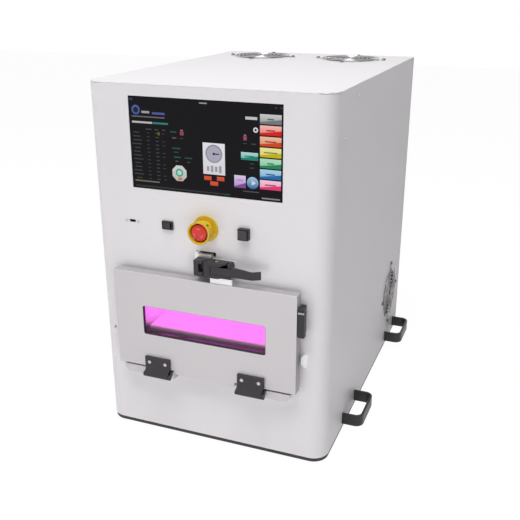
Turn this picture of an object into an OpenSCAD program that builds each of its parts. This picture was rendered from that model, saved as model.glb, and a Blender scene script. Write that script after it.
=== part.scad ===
// Benchtop vacuum plasma treatment cabinet.
// X runs to the right, Y to the back and Z up. The cabinet's own zero is the middle of the
// front panel's outer face at floor level; recentre() then puts the origin under the middle.

/* [Cabinet] */
// Width of the sheet-metal cabinet
body_w = 450; // [440:1:520]
// Depth of the cabinet, front panel to rear panel
body_d = 647; // [630:1:760]
// Height of the wrapped shell with its cover
shell_h = 660; // [655:1:760]
// Radius of the two bent front corners
corner_r = 30; // [12:1:40]
// Thickness of the sheet metal
sheet_t = 2; // [1.5:0.1:3]
// Depth of the rear panel's side flanges
rear_flange_d = 6; // [4:0.5:14]
// Thickness of the black base plate
base_t = 8; // [6:0.5:12]
// How far the base plate stands back under the shell
base_inset = 1; // [0.5:0.5:8]
// Height of the rubber feet
foot_h = 6; // [4:0.5:15]
// Radius of the rubber feet
foot_r = 18; // [12:1:24]
// Distance of each foot's centre from the cabinet's sides
foot_inset = 55; // [45:1:90]

/* [Carrying handles] */
// Outside length of a handle
handle_len = 98; // [90:1:130]
// How far a handle stands out
handle_reach = 40; // [34:1:50]
// Height of the handle's flat strap
handle_strap_h = 23.5; // [14:0.5:26]
// Thickness of the handle's strap
handle_strap_t = 5; // [3:0.5:6]
// Outer bend radius of the strap
handle_bend_r = 16; // [8:1:18]
// Height of the strap's middle over the shell's lower edge
handle_rise = 18; // [18:1:40]
// Distance of the front handle from the front panel
handle_front_y = 121; // [90:1:130]
// Distance of the rear handle's far end from the rear
handle_rear_gap = 44; // [40:1:80]

/* [Display and controls] */
// Width of the display glass
glass_w = 278.5; // [240:0.5:300]
// Height of the display glass
glass_h = 158.7; // [130:0.1:165]
// Distance of the display glass from the cabinet's top
display_drop = 21.15; // [20.65:0.25:30.65]
// Depth of the display module behind the glass
module_d = 30; // [20:1:45]
// Distance of the emergency stop's middle under the display glass
controls_drop = 60.15; // [54.15:0.5:64.15]
// Distance of the power switch from the middle, to the left
power_x = 73.5; // [60:0.5:90]
// Distance of the start button from the middle, to the right
start_x = 72; // [60:0.5:90]
// Distance of the USB socket from the middle
usb_x = 145; // [130:1:170]
// Diameter of the emergency stop's yellow base
estop_base_d = 46.5; // [42:0.5:50]
// Diameter of the yellow shroud's front rim
estop_rim_d = 41; // [38:0.5:42]
// How far the yellow shroud stands out
estop_reach = 31; // [27:0.5:34]
// Diameter of the red head
estop_head_d = 28.5; // [26:0.5:30]
// Travel of the emergency stop when it is pushed
estop_travel = 4; // [2:0.5:5]
// Side of the square start button's bezel
start_side = 20.5; // [18:0.5:26]
// Travel of the start button
start_travel = 3; // [1.5:0.5:4]
// Width of the power switch's bezel
rocker_w = 21.5; // [20:0.5:26]
// Height of the power switch's bezel
rocker_h = 15.5; // [15:0.5:19]
// Tilt of the rocker to each side
rocker_tilt = 8; // [5:1:10]

/* [Chamber] */
// Inside width of the vacuum chamber
chamber_w = 290; // [250:1:300]
// Inside height of the vacuum chamber
chamber_h = 136; // [125:1:140]
// Inside depth of the vacuum chamber
chamber_d = 346; // [300:1:360]
// Thickness of the chamber's walls
chamber_wall = 10; // [8:0.5:12]
// How far the chamber's flange stands out of the front panel
flange_out = 5.5; // [4:0.5:7]
// Width of the flange at each side of the chamber's opening
flange_side = 26; // [24:0.5:28]
// Width of the flange above and below the chamber's opening
flange_edge = 20; // [18:0.5:22]
// Thickness of the electrode plates
electrode_t = 12; // [6:0.5:14]
// Height of the lower electrode's top over the chamber's floor
electrode_rise = 40; // [38:0.5:44]

/* [Door] */
// How far the door reaches past the flange at each side
door_lap_side = 5.25; // [2.25:0.5:9.25]
// How far the door reaches past the flange above and below
door_lap_edge = 5.75; // [3.75:0.5:9.75]
// Thickness of the door
door_t = 20; // [18:0.5:26]
// Distance of the door's top edge under the emergency stop's middle
door_drop = 90; // [88:0.5:96]
// Width of the tongue between the hinge blocks
tongue_w = 122; // [100:1:126]
// How far the tongue reaches below the door's lower edge
tongue_drop = 7.5; // [5:0.5:8]
// Width of the window
window_w = 240; // [200:1:250]
// Height of the window
window_h = 56.5; // [40:0.5:60]
// Height of the window's lower edge over the door's lower edge
window_rise = 66.5; // [63:0.5:76]
// Thickness of the window pane
pane_t = 6; // [4:0.5:7]

/* [Door hinges] */
// Distance of each hinge from the middle
hinge_pitch = 93; // [90:0.5:105]
// Width of a hinge leaf
hinge_leaf_w = 51; // [46:1:54]
// Thickness of a hinge leaf
hinge_leaf_t = 5; // [3.5:0.5:5.5]
// Height of the door leaf over the door's lower edge
hinge_leaf_h = 22.5; // [20:0.5:28]
// Radius of the hinge barrel
hinge_r = 5; // [4:0.25:6]
// Radius of the hinge pin
hinge_pin_r = 2.25; // [1.5:0.25:2.5]
// Distance between a leaf's two screws
hinge_screw_pitch = 32.5; // [28:0.5:36]
// Height of the hinge blocks
hinge_block_h = 15.5; // [14:0.5:17]
// Reach of a hinge block past its hinge, towards the door's side
hinge_block_out = 45.5; // [34:0.5:48]

/* [Door latch] */
// Height of the latch body and keeper
latch_h = 29; // [27:0.5:34]
// Length of the latch body
latch_len = 51; // [48:0.5:58]
// Height of the bracket between the door's top edge and the latch
latch_stand = 11; // [9:0.5:14]
// Height of the lever's blade
lever_h = 14.5; // [12:0.5:16]
// Thickness of the lever's blade
lever_t = 3.5; // [2.5:0.5:4.5]
// Reach of the lever's straight part past the latch body
lever_reach = 40; // [26:1:46]
// Length of the lever's bent tip
lever_tip = 14; // [10:1:20]
// Angle of the bent tip
lever_bend = 33; // [20:1:45]
// Radius of the lever's pivot pin
lever_pin_r = 3; // [2:0.25:3.5]

/* [Fans] */
// Side of the square fan frames
fan_side = 120; // [110:1:120]
// Thickness of the fan frames
fan_t = 25; // [20:0.5:28]
// Distance of the top fans from the middle
fan_pitch = 104; // [98:1:112]
// Distance of the top fans from the front
fan_top_y = 541; // [520:1:545]
// Distance of the side fan from the front
fan_side_y = 527; // [520:1:540]
// Height of the side fan over the shell's lower edge
fan_side_rise = 126; // [115:1:140]
// Radius of the guard's ring wires
guard_wire_r = 0.8; // [0.7:0.05:1.3]
// Spacing of the guard's rings
guard_step = 8.5; // [7:0.25:9]

/* [Rear connections] */
// Inside radius of the vacuum port
port_r = 13; // [8:0.5:16]
// How far the vacuum port stands out of the rear panel
port_reach = 20; // [15:1:40]
// Radius of the bore in each gas fitting
gas_bore_r = 3.05; // [2:0.05:4]
// Distance between the two gas fittings
gas_pitch = 50; // [44:1:60]
// Height of the gas fittings over the chamber's roof
gas_rise = 82.75; // [76.75:0.5:96.75]

/* [Hidden] */

// Clearances and small shared sizes
seam = 0.4;           // between separate sheet-metal pieces
slip = 0.3;           // between a piece and the cut-out that it sits in
fit = 0.05;           // radial, for pins, stems and shafts that turn or slide
bite = 1;             // how far a cutting tool passes its surface
shelf = 16;           // width of the inward flanges at the shell's lower edge
cover_skirt = 12;     // depth of the cover's inner skirt at the front
cover_side_skirt = 22;
corner_gap = 0.6;     // shadow gap under the cover at the two bent corners

// Heights and planes that follow from the sizes above
shell_z = foot_h + base_t;
top_z = shell_z + shell_h;
wall_top = top_z - sheet_t;
shell_d = body_d - rear_flange_d - seam;
inner_x = body_w / 2 - sheet_t;
display_z = top_z - display_drop - glass_h / 2;
control_z = display_z - glass_h / 2 - controls_drop;
flange_w = chamber_w + 2 * flange_side;
flange_h = chamber_h + 2 * flange_edge;
door_w = flange_w + 2 * door_lap_side;
door_h = flange_h + 2 * door_lap_edge;
door_gap = 0.5;                              // between the door and the chamber's flange
door_back = -(flange_out + door_gap);
door_front = door_back - door_t;
door_top = control_z - door_drop;
door_z = door_top - door_h;
window_z = door_z + window_rise;
hinge_out = 7;                               // from the door's front to the hinge axis
hinge_y = door_front - hinge_out;
hinge_drop = 12.5;                           // from the door's lower edge to the hinge axis
hinge_z = door_z - hinge_drop;
chamber_mid = door_z + door_h / 2 - 1;       // height of the chamber's middle
chamber_floor = chamber_mid - chamber_h / 2;
chamber_top = chamber_mid + chamber_h / 2 + chamber_wall;
chamber_back = chamber_d + chamber_wall;
origin_y = (body_d + port_reach + hinge_y - hinge_r) / 2;

module recentre() translate([0, -origin_y, 0]) children();

// Rectangle around the origin with rounded corners
module rounded_rect(w, h, r, $fn = 32) {
    square([w - 2 * r, h], center = true);
    square([w, h - 2 * r], center = true);
    for (x = [-1, 1], y = [-1, 1]) translate([x * (w / 2 - r), y * (h / 2 - r)]) circle(r);
}

// Plan of the cabinet: rounded at the front, square at the back
module plan(w, d, r) {
    translate([-w / 2, r]) square([w, d - r]);
    translate([-w / 2 + r, 0]) square([w - 2 * r, d]);
    for (s = [-1, 1]) translate([s * (w / 2 - r), r]) circle(r, $fn = 64);
}

// Stands a flat drawing up in the front panel's plane: its thickness runs back from y
module upright(y, t) translate([0, y + t, 0]) rotate([90, 0, 0]) linear_extrude(t) children();

// A cylinder along Y, from y back by len
module rod_y(y, len, r, $fn = 40) translate([0, y, 0]) rotate([-90, 0, 0]) cylinder(h = len, r = r);

// A cylinder along X, from x to the right by len
module rod_x(x, len, r, $fn = 40) translate([x, 0, 0]) rotate([0, 90, 0]) cylinder(h = len, r = r);

// The same piece on the right and, mirrored, on the left
module both_sides() {
    children();
    mirror([1, 0, 0]) children();
}

// A screw head with its shank, standing on the plane z = 0
module screw(head_r, head_h, shank_r, shank_len) {
    cylinder(h = head_h, r = head_r, $fn = 28);
    translate([0, 0, -shank_len]) cylinder(h = shank_len + bite / 2, r = shank_r, $fn = 20);
}

// ---------------------------------------------------------------- sheet metal

fan_hole_r = fan_side / 2 - 4;
fan_bolt_r = (fan_side - 15) / 2 * sqrt(2);   // frames stand on a corner: bolts lie on the axes
fan_z = shell_z + fan_side_rise;
bolt_hole_r = 2.1;
handle_z = shell_z + handle_rise - handle_strap_h / 2;
handle_rear_y = body_d - handle_rear_gap - handle_len;
slot_w = 38;                                  // slot for the keeper's bracket
slot_h = 8.5;
slot_x = -1.2;
latch_z = door_top + latch_stand;
slot_z = latch_z + latch_h + 3.3;
flange_slack = 1;                             // between the chamber's flange and the panel
estop_neck_r = 11;
start_neck_r = 8;
power_z = control_z - 2.5;
start_z = control_z - 1.2;
usb_z = power_z;
usb_w = 12.5;
usb_h = 5.2;
usb_screw_pitch = 23;
rocker_body_w = rocker_w - 2.5;
rocker_body_h = rocker_h - 2.5;
small_screw_r = 1.5;
small_head_r = 2.8;
side_screw_low = 80;                          // from the cabinet's top
side_screw_high = 18;
side_screw_front = 60;                        // from its front
side_screw_rear = 128.5;
side_screws = [[side_screw_front, top_z - side_screw_low], [side_screw_rear, top_z - side_screw_high]];
rear_screw_end = 40;                          // outermost screws of the rear panel, from its ends
port_tube_r = port_r + 2;
gas_x = -100;                                 // middle of the two gas lines
gas_z = chamber_top + gas_rise;
gas_stub_r = 6;
inlet_x = -150;                               // mains inlet, at the back
inlet_z = shell_z + 70;
inlet_w = 28;
inlet_h = 21;
vent_w = 70;
vent_h = 4;
vent_step = 11;
vent_rows = 9;
rear_screw_in = 12;
foot_bolt_r = 2.5;
front_screw = [door_w / 2 + 22.25, door_z + 56.5];      // small screw left of the door

module fan_cutout() {
    circle(fan_hole_r, $fn = 96);
    for (a = [0:90:270]) rotate(a) translate([fan_bolt_r, 0]) circle(bolt_hole_r, $fn = 24);
}

module front_cutouts() {
    translate([0, display_z]) square([glass_w + 2 * slip, glass_h + 2 * slip], center = true);
    translate([0, chamber_mid])
        square([flange_w + 2 * flange_slack, flange_h + 2 * flange_slack], center = true);
    translate([slot_x, slot_z]) square([slot_w, slot_h], center = true);
    translate([0, control_z]) circle(estop_neck_r + slip, $fn = 48);
    translate([start_x, start_z]) circle(start_neck_r + slip, $fn = 40);
    translate([-power_x, power_z])
        square([rocker_body_w + 2 * slip, rocker_body_h + 2 * slip], center = true);
    translate([-usb_x, usb_z]) {
        square([usb_w, usb_h], center = true);
        for (s = [-1, 1]) translate([s * usb_screw_pitch / 2, 0])
            circle(small_screw_r + fit, $fn = 24);
    }
    for (k = [0, 1]) translate([sensor_screws[k], sensor_screw_z])
        circle(sensor_screw_r + fit, $fn = 20);
    translate([-front_screw[0], front_screw[1]]) circle(1.1 + fit, $fn = 20);
}

// Slots where the handles' legs go through the side wall
module handle_slots() {
    for (y = [handle_front_y, handle_rear_y], end = [0, 1])
        translate([inner_x - bite, y + end * (handle_len - handle_strap_t) - slip, handle_z - slip])
            cube([sheet_t + 2 * bite, handle_strap_t + 2 * slip, handle_strap_h + 2 * slip]);
}

// Return flange inside the wall's rear edge, which takes the rear panel's screws
module rear_return() {
    panel_y = body_d - sheet_t;
    translate([inner_x - seam - sheet_t, shell_d - 10]) {
        square([sheet_t + seam + bite, 10]);
        square([sheet_t, panel_y - shell_d + 10]);
    }
    translate([inner_x - seam - shelf, panel_y - sheet_t]) square([shelf, sheet_t]);
}

module wrap_shell() recentre() color([0.86, 0.855, 0.86]) difference() {
    union() {
        translate([0, 0, shell_z]) linear_extrude(shell_h - sheet_t) difference() {
            plan(body_w, shell_d, corner_r);
            translate([0, sheet_t]) plan(body_w - 2 * sheet_t, shell_d, corner_r - sheet_t);
        }
        translate([0, 0, shell_z]) linear_extrude(sheet_t) difference() {
            plan(body_w, shell_d, corner_r);
            translate([-body_w / 2 + shelf, shelf]) square([body_w - 2 * shelf, body_d]);
        }
        both_sides() translate([0, 0, shell_z + sheet_t + seam])
            linear_extrude(wall_top - shell_z - sheet_t - seam) rear_return();
    }
    upright(-bite, sheet_t + 2 * bite) front_cutouts();
    translate([inner_x - bite, fan_side_y, fan_z]) rotate([0, 90, 0])
        linear_extrude(sheet_t + 2 * bite) fan_cutout();
    upright(shell_d - bite, rear_flange_d + bite) rear_screw_places()
        circle(small_screw_r + fit, $fn = 24);
    both_sides() {
        handle_slots();
        for (p = side_screws) translate([0, p[0], p[1]])
            rod_x(inner_x - bite, sheet_t + 2 * bite, small_screw_r + fit);
        translate([body_w / 2 - corner_r, -bite, wall_top - corner_gap])
            cube([corner_r + bite, corner_r + bite, corner_gap + bite]);
    }
}

module top_cover() recentre() color([0.9, 0.895, 0.9]) {
    translate([0, 0, wall_top]) linear_extrude(sheet_t) difference() {
        plan(body_w, body_d, corner_r);
        for (s = [-1, 1]) translate([s * fan_pitch, fan_top_y]) fan_cutout();
    }
    translate([-body_w / 2 + corner_r, sheet_t + seam, wall_top - cover_skirt])
        cube([body_w - 2 * corner_r, sheet_t, cover_skirt + seam]);
    difference() {
        both_sides() translate([inner_x - seam - sheet_t, corner_r, wall_top - cover_side_skirt])
            cube([sheet_t, shell_d - corner_r - shelf, cover_side_skirt + seam]);
        both_sides() translate([0, side_screws[1][0], side_screws[1][1]])
            rod_x(inner_x - shelf, shelf, small_screw_r + fit);
    }
}

module rear_cutouts() {
    translate([0, chamber_mid]) circle(port_tube_r + slip, $fn = 48);
    for (s = [-1, 1]) translate([gas_x + s * gas_pitch / 2, gas_z]) circle(gas_stub_r + slip, $fn = 32);
    translate([inlet_x, inlet_z]) square([inlet_w + 2 * slip, inlet_h + 2 * slip], center = true);
    for (s = [-1, 1]) translate([inlet_x + s * (inlet_w / 2 + 6), inlet_z])
        circle(small_screw_r + fit, $fn = 24);
    for (s = [-1, 1], k = [0:vent_rows - 1])
        translate([s * body_w / 4, shell_z + 110 + k * vent_step])
            square([vent_w, vent_h], center = true);
    rear_screw_places() circle(small_screw_r + fit, $fn = 24);
}

// Screws round the rim of the rear panel
module rear_screw_places() {
    for (s = [-1, 1], k = [0:3])
        translate([s * (body_w / 2 - rear_screw_in),
            shell_z + rear_screw_end + k * (shell_h - 2 * rear_screw_end) / 3]) children();
}

module rear_panel() recentre() color([0.72, 0.72, 0.73]) {
    difference() {
        translate([-body_w / 2, body_d - sheet_t, shell_z])
            cube([body_w, sheet_t, shell_h - sheet_t]);
        upright(body_d - sheet_t - bite, sheet_t + 2 * bite) rear_cutouts();
    }
    both_sides() translate([inner_x, body_d - rear_flange_d, shell_z])
        cube([sheet_t, rear_flange_d, shell_h - sheet_t]);
    translate([-body_w / 2 + shelf + seam, body_d - shelf, shell_z])
        cube([body_w - 2 * shelf - 2 * seam, shelf, sheet_t]);
}

module base_plate() recentre() color([0.08, 0.08, 0.085]) difference() {
    translate([0, base_inset, foot_h]) linear_extrude(base_t)
        plan(body_w - 2 * base_inset, body_d - 2 * base_inset, corner_r - base_inset);
    foot_places() translate([0, 0, foot_h - bite])
        cylinder(h = base_t + 2 * bite, r = foot_bolt_r + fit, $fn = 24);
}

module foot_places() {
    for (x = [-1, 1], y = [foot_inset, body_d - foot_inset])
        translate([x * (body_w / 2 - foot_inset), y, 0]) children();
}

module rubber_feet() recentre() color([0.05, 0.05, 0.05]) foot_places() difference() {
    cylinder(h = foot_h, r1 = foot_r - 1.5, r2 = foot_r, $fn = 48);
    translate([0, 0, -bite]) cylinder(h = foot_h / 2 + bite, r = 5, $fn = 32);
    translate([0, 0, -bite]) cylinder(h = foot_h + 2 * bite, r = foot_bolt_r + fit, $fn = 24);
}

guard_rib_r = 1;
guard_head_r = 3.6;        // heads of the guards' screws
guard_head_h = 1.6;

// Heads stand on what they clamp: guards, sheet, socket flange or hinge leaf
module case_screws() recentre() color([0.75, 0.75, 0.76]) {
    both_sides() for (p = side_screws) translate([body_w / 2, p[0], p[1]])
        rotate([0, 90, 0]) screw(small_head_r, 1.2, small_screw_r, sheet_t + 4);
    for (s = [-1, 1]) translate([s * fan_pitch, fan_top_y, top_z + 2 * guard_rib_r])
        guard_screws(sheet_t + fan_t);
    translate([body_w / 2 + 2 * guard_rib_r, fan_side_y, fan_z]) rotate([0, 90, 0])
        guard_screws(sheet_t + fan_t);
    for (s = [-1, 1]) translate([-usb_x + s * usb_screw_pitch / 2, 0, usb_z]) rotate([90, 0, 0])
        screw(small_head_r, 1.2, small_screw_r, sheet_t + 2);
    for (s = [-1, 1]) translate([inlet_x + s * (inlet_w / 2 + 6), body_d + inlet_plate_t, inlet_z])
        rotate([-90, 0, 0]) screw(small_head_r, 1.2, small_screw_r, sheet_t + 2);
    translate([0, body_d, 0]) rotate([90, 0, 0]) mirror([0, 0, 1])
        rear_screw_places() screw(small_head_r, 1.2, small_screw_r, sheet_t + 1);
    both_sides() for (s = [-1, 1])
        translate([hinge_pitch + s * hinge_screw_pitch / 2, hinge_leaf_mid, hinge_fixed_top - 2.5])
            screw(hinge_head_r, 2.2, hinge_shank_r, hinge_leaf_t + 4);
    for (k = [0:2]) translate([sensor_screws[k], sensor_front, sensor_screw_z]) rotate([90, 0, 0])
        screw(1.6, 0.6, sensor_screw_r, k < 2 ? sheet_t - sensor_front : sensor_d - 2);
    translate([-front_screw[0], 0, front_screw[1]]) rotate([90, 0, 0])
        screw(2, 0.4, 1.1, sheet_t + 2);
    foot_places() translate([0, 0, foot_h / 2]) {
        mirror([0, 0, 1]) cylinder(h = 2, r = 4, $fn = 6);
        cylinder(h = foot_h / 2 + base_t - bite, r = foot_bolt_r, $fn = 24);
    }
}

module guard_screws(depth) {
    for (a = [0:90:270]) rotate(a) translate([fan_bolt_r, 0, 0])
        screw(guard_head_r, guard_head_h, bolt_hole_r - fit, 2 * guard_rib_r + depth);
}

// ---------------------------------------------------------------- carrying handles

handle_tab = 16;      // tabs inside the wall, turned away from the grip
handle_stud_r = 2;

// One handle in plan: the wall's outer face is x = 0, the grip runs along Y
module handle_plan() {
    root = -sheet_t - handle_strap_t;
    inner_r = handle_bend_r - handle_strap_t;
    difference() {
        bent_bow(root, handle_reach, handle_len, handle_bend_r);
        translate([0, handle_strap_t])
            bent_bow(root - bite, handle_reach - handle_strap_t, handle_len - 2 * handle_strap_t, inner_r);
    }
    for (y = [-handle_tab, handle_len - bite])
        translate([root, y]) square([handle_strap_t, handle_tab + bite]);
}

module bent_bow(x0, x1, len, r) {
    translate([x0, 0]) square([x1 - r - x0, len]);
    translate([x0, r]) square([x1 - x0, len - 2 * r]);
    for (y = [r, len - r]) translate([x1 - r, y]) circle(r, $fn = 48);
}

module handle_at(y) {
    recentre() color([0.11, 0.105, 0.11]) translate([body_w / 2, y, handle_z]) difference() {
        linear_extrude(handle_strap_h) handle_plan();
        for (t = handle_tab_mids) translate([0, t, handle_strap_h / 2])
            rod_x(-sheet_t - handle_strap_t - bite, handle_strap_t + 2 * bite, handle_stud_r + fit);
    }
}
handle_tab_mids = [-handle_tab / 2, handle_len + handle_tab / 2];

module handle_right_front() handle_at(handle_front_y);
module handle_right_rear() handle_at(handle_rear_y);
module handle_left_front() mirror([1, 0, 0]) handle_at(handle_front_y);
module handle_left_rear() mirror([1, 0, 0]) handle_at(handle_rear_y);

// Studs welded inside the side walls, each with its nut against a handle's tab
module handle_nuts() recentre() color([0.7, 0.7, 0.7]) both_sides()
    for (y = [handle_front_y, handle_rear_y], t = handle_tab_mids)
        translate([inner_x, y + t, handle_z + handle_strap_h / 2]) rotate([0, -90, 0]) {
            cylinder(h = handle_strap_t + 5, r = handle_stud_r, $fn = 24);
            translate([0, 0, handle_strap_t]) cylinder(h = 3.2, r = 4, $fn = 6);
        }

// ---------------------------------------------------------------- display and controls

module_lip = 6;

module display_glass() recentre() color([0.02, 0.02, 0.025])
    upright(0, sheet_t) translate([0, display_z]) square([glass_w, glass_h], center = true);

module display_module() recentre() color([0.2, 0.2, 0.21]) {
    upright(sheet_t, 4) translate([0, display_z])
        square([glass_w + 2 * module_lip, glass_h + 2 * module_lip], center = true);
    upright(sheet_t, module_d) translate([0, display_z]) difference() {
        square([glass_w - 2 * module_lip, glass_h - 2 * module_lip], center = true);
        square([glass_w - 2 * module_lip - 4, glass_h - 2 * module_lip - 4], center = true);
    }
    upright(sheet_t + module_d - 14, 2) translate([0, display_z])
        square([glass_w - 2 * module_lip - bite, glass_h - 2 * module_lip - bite], center = true);
}

usb_tongue_y = 8;
usb_depth = 18;

module usb_socket() recentre() color([0.06, 0.06, 0.06]) {
    difference() {
        union() {
            upright(sheet_t, 2) translate([-usb_x, usb_z])
                square([usb_screw_pitch + 8, usb_h + 6], center = true);
            upright(sheet_t, usb_depth) translate([-usb_x, usb_z])
                square([usb_w + 3, usb_h + 3], center = true);
        }
        upright(-bite, usb_depth) translate([-usb_x, usb_z]) square([usb_w, usb_h], center = true);
        for (s = [-1, 1]) translate([-usb_x + s * usb_screw_pitch / 2, 0, usb_z])
            rod_y(sheet_t - bite, 2 + 2 * bite, small_screw_r + fit);
    }
    upright(usb_tongue_y, usb_depth - usb_tongue_y) translate([-usb_x, usb_z + usb_h / 4])
        square([usb_w - 2.5, 1.4], center = true);
}

estop_floor = 12;         // from the panel to the bottom of the shroud's bell
estop_neck = 25;          // length of the threaded neck behind the panel's face
estop_stem_r = 5;
estop_spigot_r = 4;
estop_wall = 2.9;
estop_waist_r = 14.5;
estop_waist_out = 10;     // from the panel to the back of the bell
estop_clear = 5;          // left under the head when it is pressed in
estop_head_back = -(estop_floor + estop_travel + estop_clear);
estop_crown_r = 40;

module estop_shroud() recentre() color([0.82, 0.7, 0.05]) translate([0, 0, control_z]) difference() {
    union() {
        rod_y(-3, 3, estop_base_d / 2, $fn = 64);
        translate([0, -estop_reach, 0]) rotate([-90, 0, 0])
            cylinder(h = estop_reach - estop_waist_out, r1 = estop_rim_d / 2,
                r2 = estop_waist_r + 2.5, $fn = 64);
        rod_y(-estop_waist_out - bite, estop_waist_out + bite, estop_waist_r, $fn = 64);
        rod_y(-bite, estop_neck + bite, estop_neck_r);
    }
    translate([0, -estop_reach - bite, 0]) rotate([-90, 0, 0])
        cylinder(h = estop_reach + bite - estop_floor, r1 = estop_rim_d / 2 - estop_wall,
            r2 = estop_head_d / 2 + 0.5, $fn = 64);
    rod_y(-estop_floor - bite, estop_floor + estop_neck + 2 * bite, estop_stem_r + fit);
    for (a = [45:90:315]) rotate([0, a, 0])
        translate([estop_rim_d / 2 - 2 * estop_wall, -estop_reach * 0.8, -1.5])
            cube([3 * estop_wall, estop_reach * 0.3, 3]);
}

module estop_stem() recentre() color([0.5, 0.5, 0.52]) translate([0, 0, control_z]) {
    rod_y(estop_head_back + 2, estop_neck - 3 - estop_head_back - 2, estop_stem_r);
    rod_y(estop_head_back - 6, 9, estop_spigot_r);
}

module estop_head() recentre() color([0.8, 0.06, 0.05]) translate([0, 0, control_z]) difference() {
    union() {
        intersection() {
            rod_y(-estop_reach, estop_reach + estop_head_back, estop_head_d / 2, $fn = 64);
            translate([0, -estop_reach + estop_crown_r, 0]) sphere(estop_crown_r, $fn = 96);
        }
        rod_y(estop_head_back - bite, 1.8 + bite, 8);
    }
    rod_y(estop_head_back - 6.2, 9, estop_spigot_r + fit);
}

rocker_hole_w = rocker_w - 5;
rocker_hole_h = rocker_h - 5;
rocker_proud = 4;         // bezel
rocker_pivot_y = 5 - rocker_proud;
rocker_pin_r = 1.25;
rocker_half = rocker_hole_w / 2 - 1.05;

module power_switch_body() recentre() color([0.07, 0.065, 0.07])
    translate([-power_x, 0, 0]) difference() {
        union() {
            upright(-rocker_proud, rocker_proud) translate([0, power_z])
                rounded_rect(rocker_w, rocker_h, 1.5);
            upright(-bite, 24 + bite) translate([0, power_z])
                square([rocker_body_w, rocker_body_h], center = true);
        }
        upright(-rocker_proud - bite, rocker_proud + 15 + bite) translate([0, power_z])
            square([rocker_hole_w, rocker_hole_h], center = true);
        translate([0, rocker_pivot_y, power_z - rocker_body_h / 2 - bite])
            cylinder(h = rocker_body_h + 2 * bite, r = rocker_pin_r + fit, $fn = 24);
    }

// At rest its left end is pressed in
module power_rocker() recentre() color([0.1, 0.095, 0.1])
    translate([-power_x, rocker_pivot_y, power_z]) rotate([0, 0, -rocker_tilt]) {
        translate([0, 0, -rocker_hole_h / 2 + slip]) linear_extrude(rocker_hole_h - 2 * slip)
            polygon([[-rocker_half, -6], [0, -4.9], [rocker_half, -6], [rocker_half - 0.6, 1],
                [2, 6], [-2, 6], [-rocker_half + 0.6, 1]]);
        translate([0, 0, -rocker_body_h / 2 + slip])
            cylinder(h = rocker_body_h - 2 * slip, r = rocker_pin_r, $fn = 24);
    }

start_proud = 8;          // bezel
start_cap_out = 3.5;      // cap over the bezel
start_cap_side = start_side - 5;
start_stem_r = 4;
start_neck = 22;

module start_bezel() recentre() color([0.13, 0.12, 0.13]) translate([start_x, 0, 0]) difference() {
    union() {
        upright(-start_proud, start_proud) translate([0, start_z])
            rounded_rect(start_side, start_side, 2);
        translate([0, 0, start_z]) rod_y(-bite, start_neck + bite, start_neck_r);
    }
    upright(-start_proud - bite, start_proud) translate([0, start_z])
        rounded_rect(start_cap_side + 2 * slip, start_cap_side + 2 * slip, 1.6);
    translate([0, 0, start_z]) rod_y(-start_proud, start_proud + start_neck + bite, start_stem_r + fit);
}

module start_cap() recentre() color([0.17, 0.16, 0.17]) translate([start_x, 0, 0]) {
    upright(-start_proud - start_cap_out, start_cap_out + start_proud - 1.3 - start_travel)
        translate([0, start_z]) rounded_rect(start_cap_side, start_cap_side, 1.5);
    translate([0, 0, start_z])
        rod_y(-2.3 - start_travel, start_neck + 1.3, start_stem_r);
}

// Ring nut and contact block behind the emergency stop and behind the start button
nut_rim = 3;              // width of a ring nut around its neck
nut_t = 5;
contact_depth = 25;       // of a contact block behind its neck

module switch_blocks() recentre() color([0.25, 0.25, 0.26]) {
    contact_block([0, control_z], estop_neck_r, estop_neck);
    contact_block([start_x, start_z], start_neck_r, start_neck);
}

module contact_block(at, neck_r, neck) translate([at[0], 0, at[1]]) difference() {
    union() {
        rod_y(sheet_t, nut_t + bite, neck_r + nut_rim);
        upright(sheet_t + nut_t, neck + contact_depth - sheet_t - nut_t)
            square(2 * (neck_r + nut_rim), center = true);
    }
    rod_y(0, neck + contact_depth - 16, neck_r + fit);
}

// ---------------------------------------------------------------- chamber and inner pieces

seal_w = 6;
seal_depth = 4;
seal_margin = 10;         // from the chamber's opening to the seal groove's inner edge
gauge_x = 110;
gauge_y = 280;
feed_x = 40;              // RF feed through the chamber's roof
feed_y = 190;
gas_y = 120;
upper_gap = 15;           // between the upper electrode and the chamber's roof
upper_z = chamber_mid + chamber_h / 2 - upper_gap - electrode_t;
lower_z = chamber_floor + electrode_rise - electrode_t;
pillar_r = 8;

module seal_ring(inner) rounded_rect(chamber_w + 2 * inner, chamber_h + 2 * inner, 8);

module chamber_body() recentre() color([0.7, 0.7, 0.72]) difference() {
    union() {
        upright(-flange_out, chamber_wall + 2) translate([0, chamber_mid])
            rounded_rect(flange_w, flange_h, 3);
        upright(0, chamber_back) translate([0, chamber_mid])
            square([chamber_w + 2 * chamber_wall, chamber_h + 2 * chamber_wall], center = true);
    }
    upright(-flange_out - bite, chamber_d + flange_out + bite) translate([0, chamber_mid])
        square([chamber_w, chamber_h], center = true);
    upright(-flange_out - bite, seal_depth + bite) translate([0, chamber_mid]) difference() {
        seal_ring(seal_margin + seal_w);
        seal_ring(seal_margin);
    }
    translate([0, 0, chamber_mid]) rod_y(chamber_d - bite, chamber_wall + 2 * bite, port_r - 1);
    translate([gauge_x, gauge_y, chamber_top]) roof_hole(5);
    translate([feed_x, feed_y, chamber_top]) roof_hole(9);
    for (s = [-1, 1]) translate([gas_x + s * gas_pitch / 2, gas_y, chamber_top]) roof_hole(3);
}

module roof_hole(r) translate([0, 0, -chamber_wall - bite])
    cylinder(h = chamber_wall + 2 * bite, r = r, $fn = 32);

module chamber_seal() recentre() color([0.1, 0.1, 0.1])
    upright(-flange_out - 0.2, seal_depth + 0.2) translate([0, chamber_mid]) difference() {
        seal_ring(seal_margin + seal_w - 0.1);
        seal_ring(seal_margin + 0.1);
    }

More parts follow.
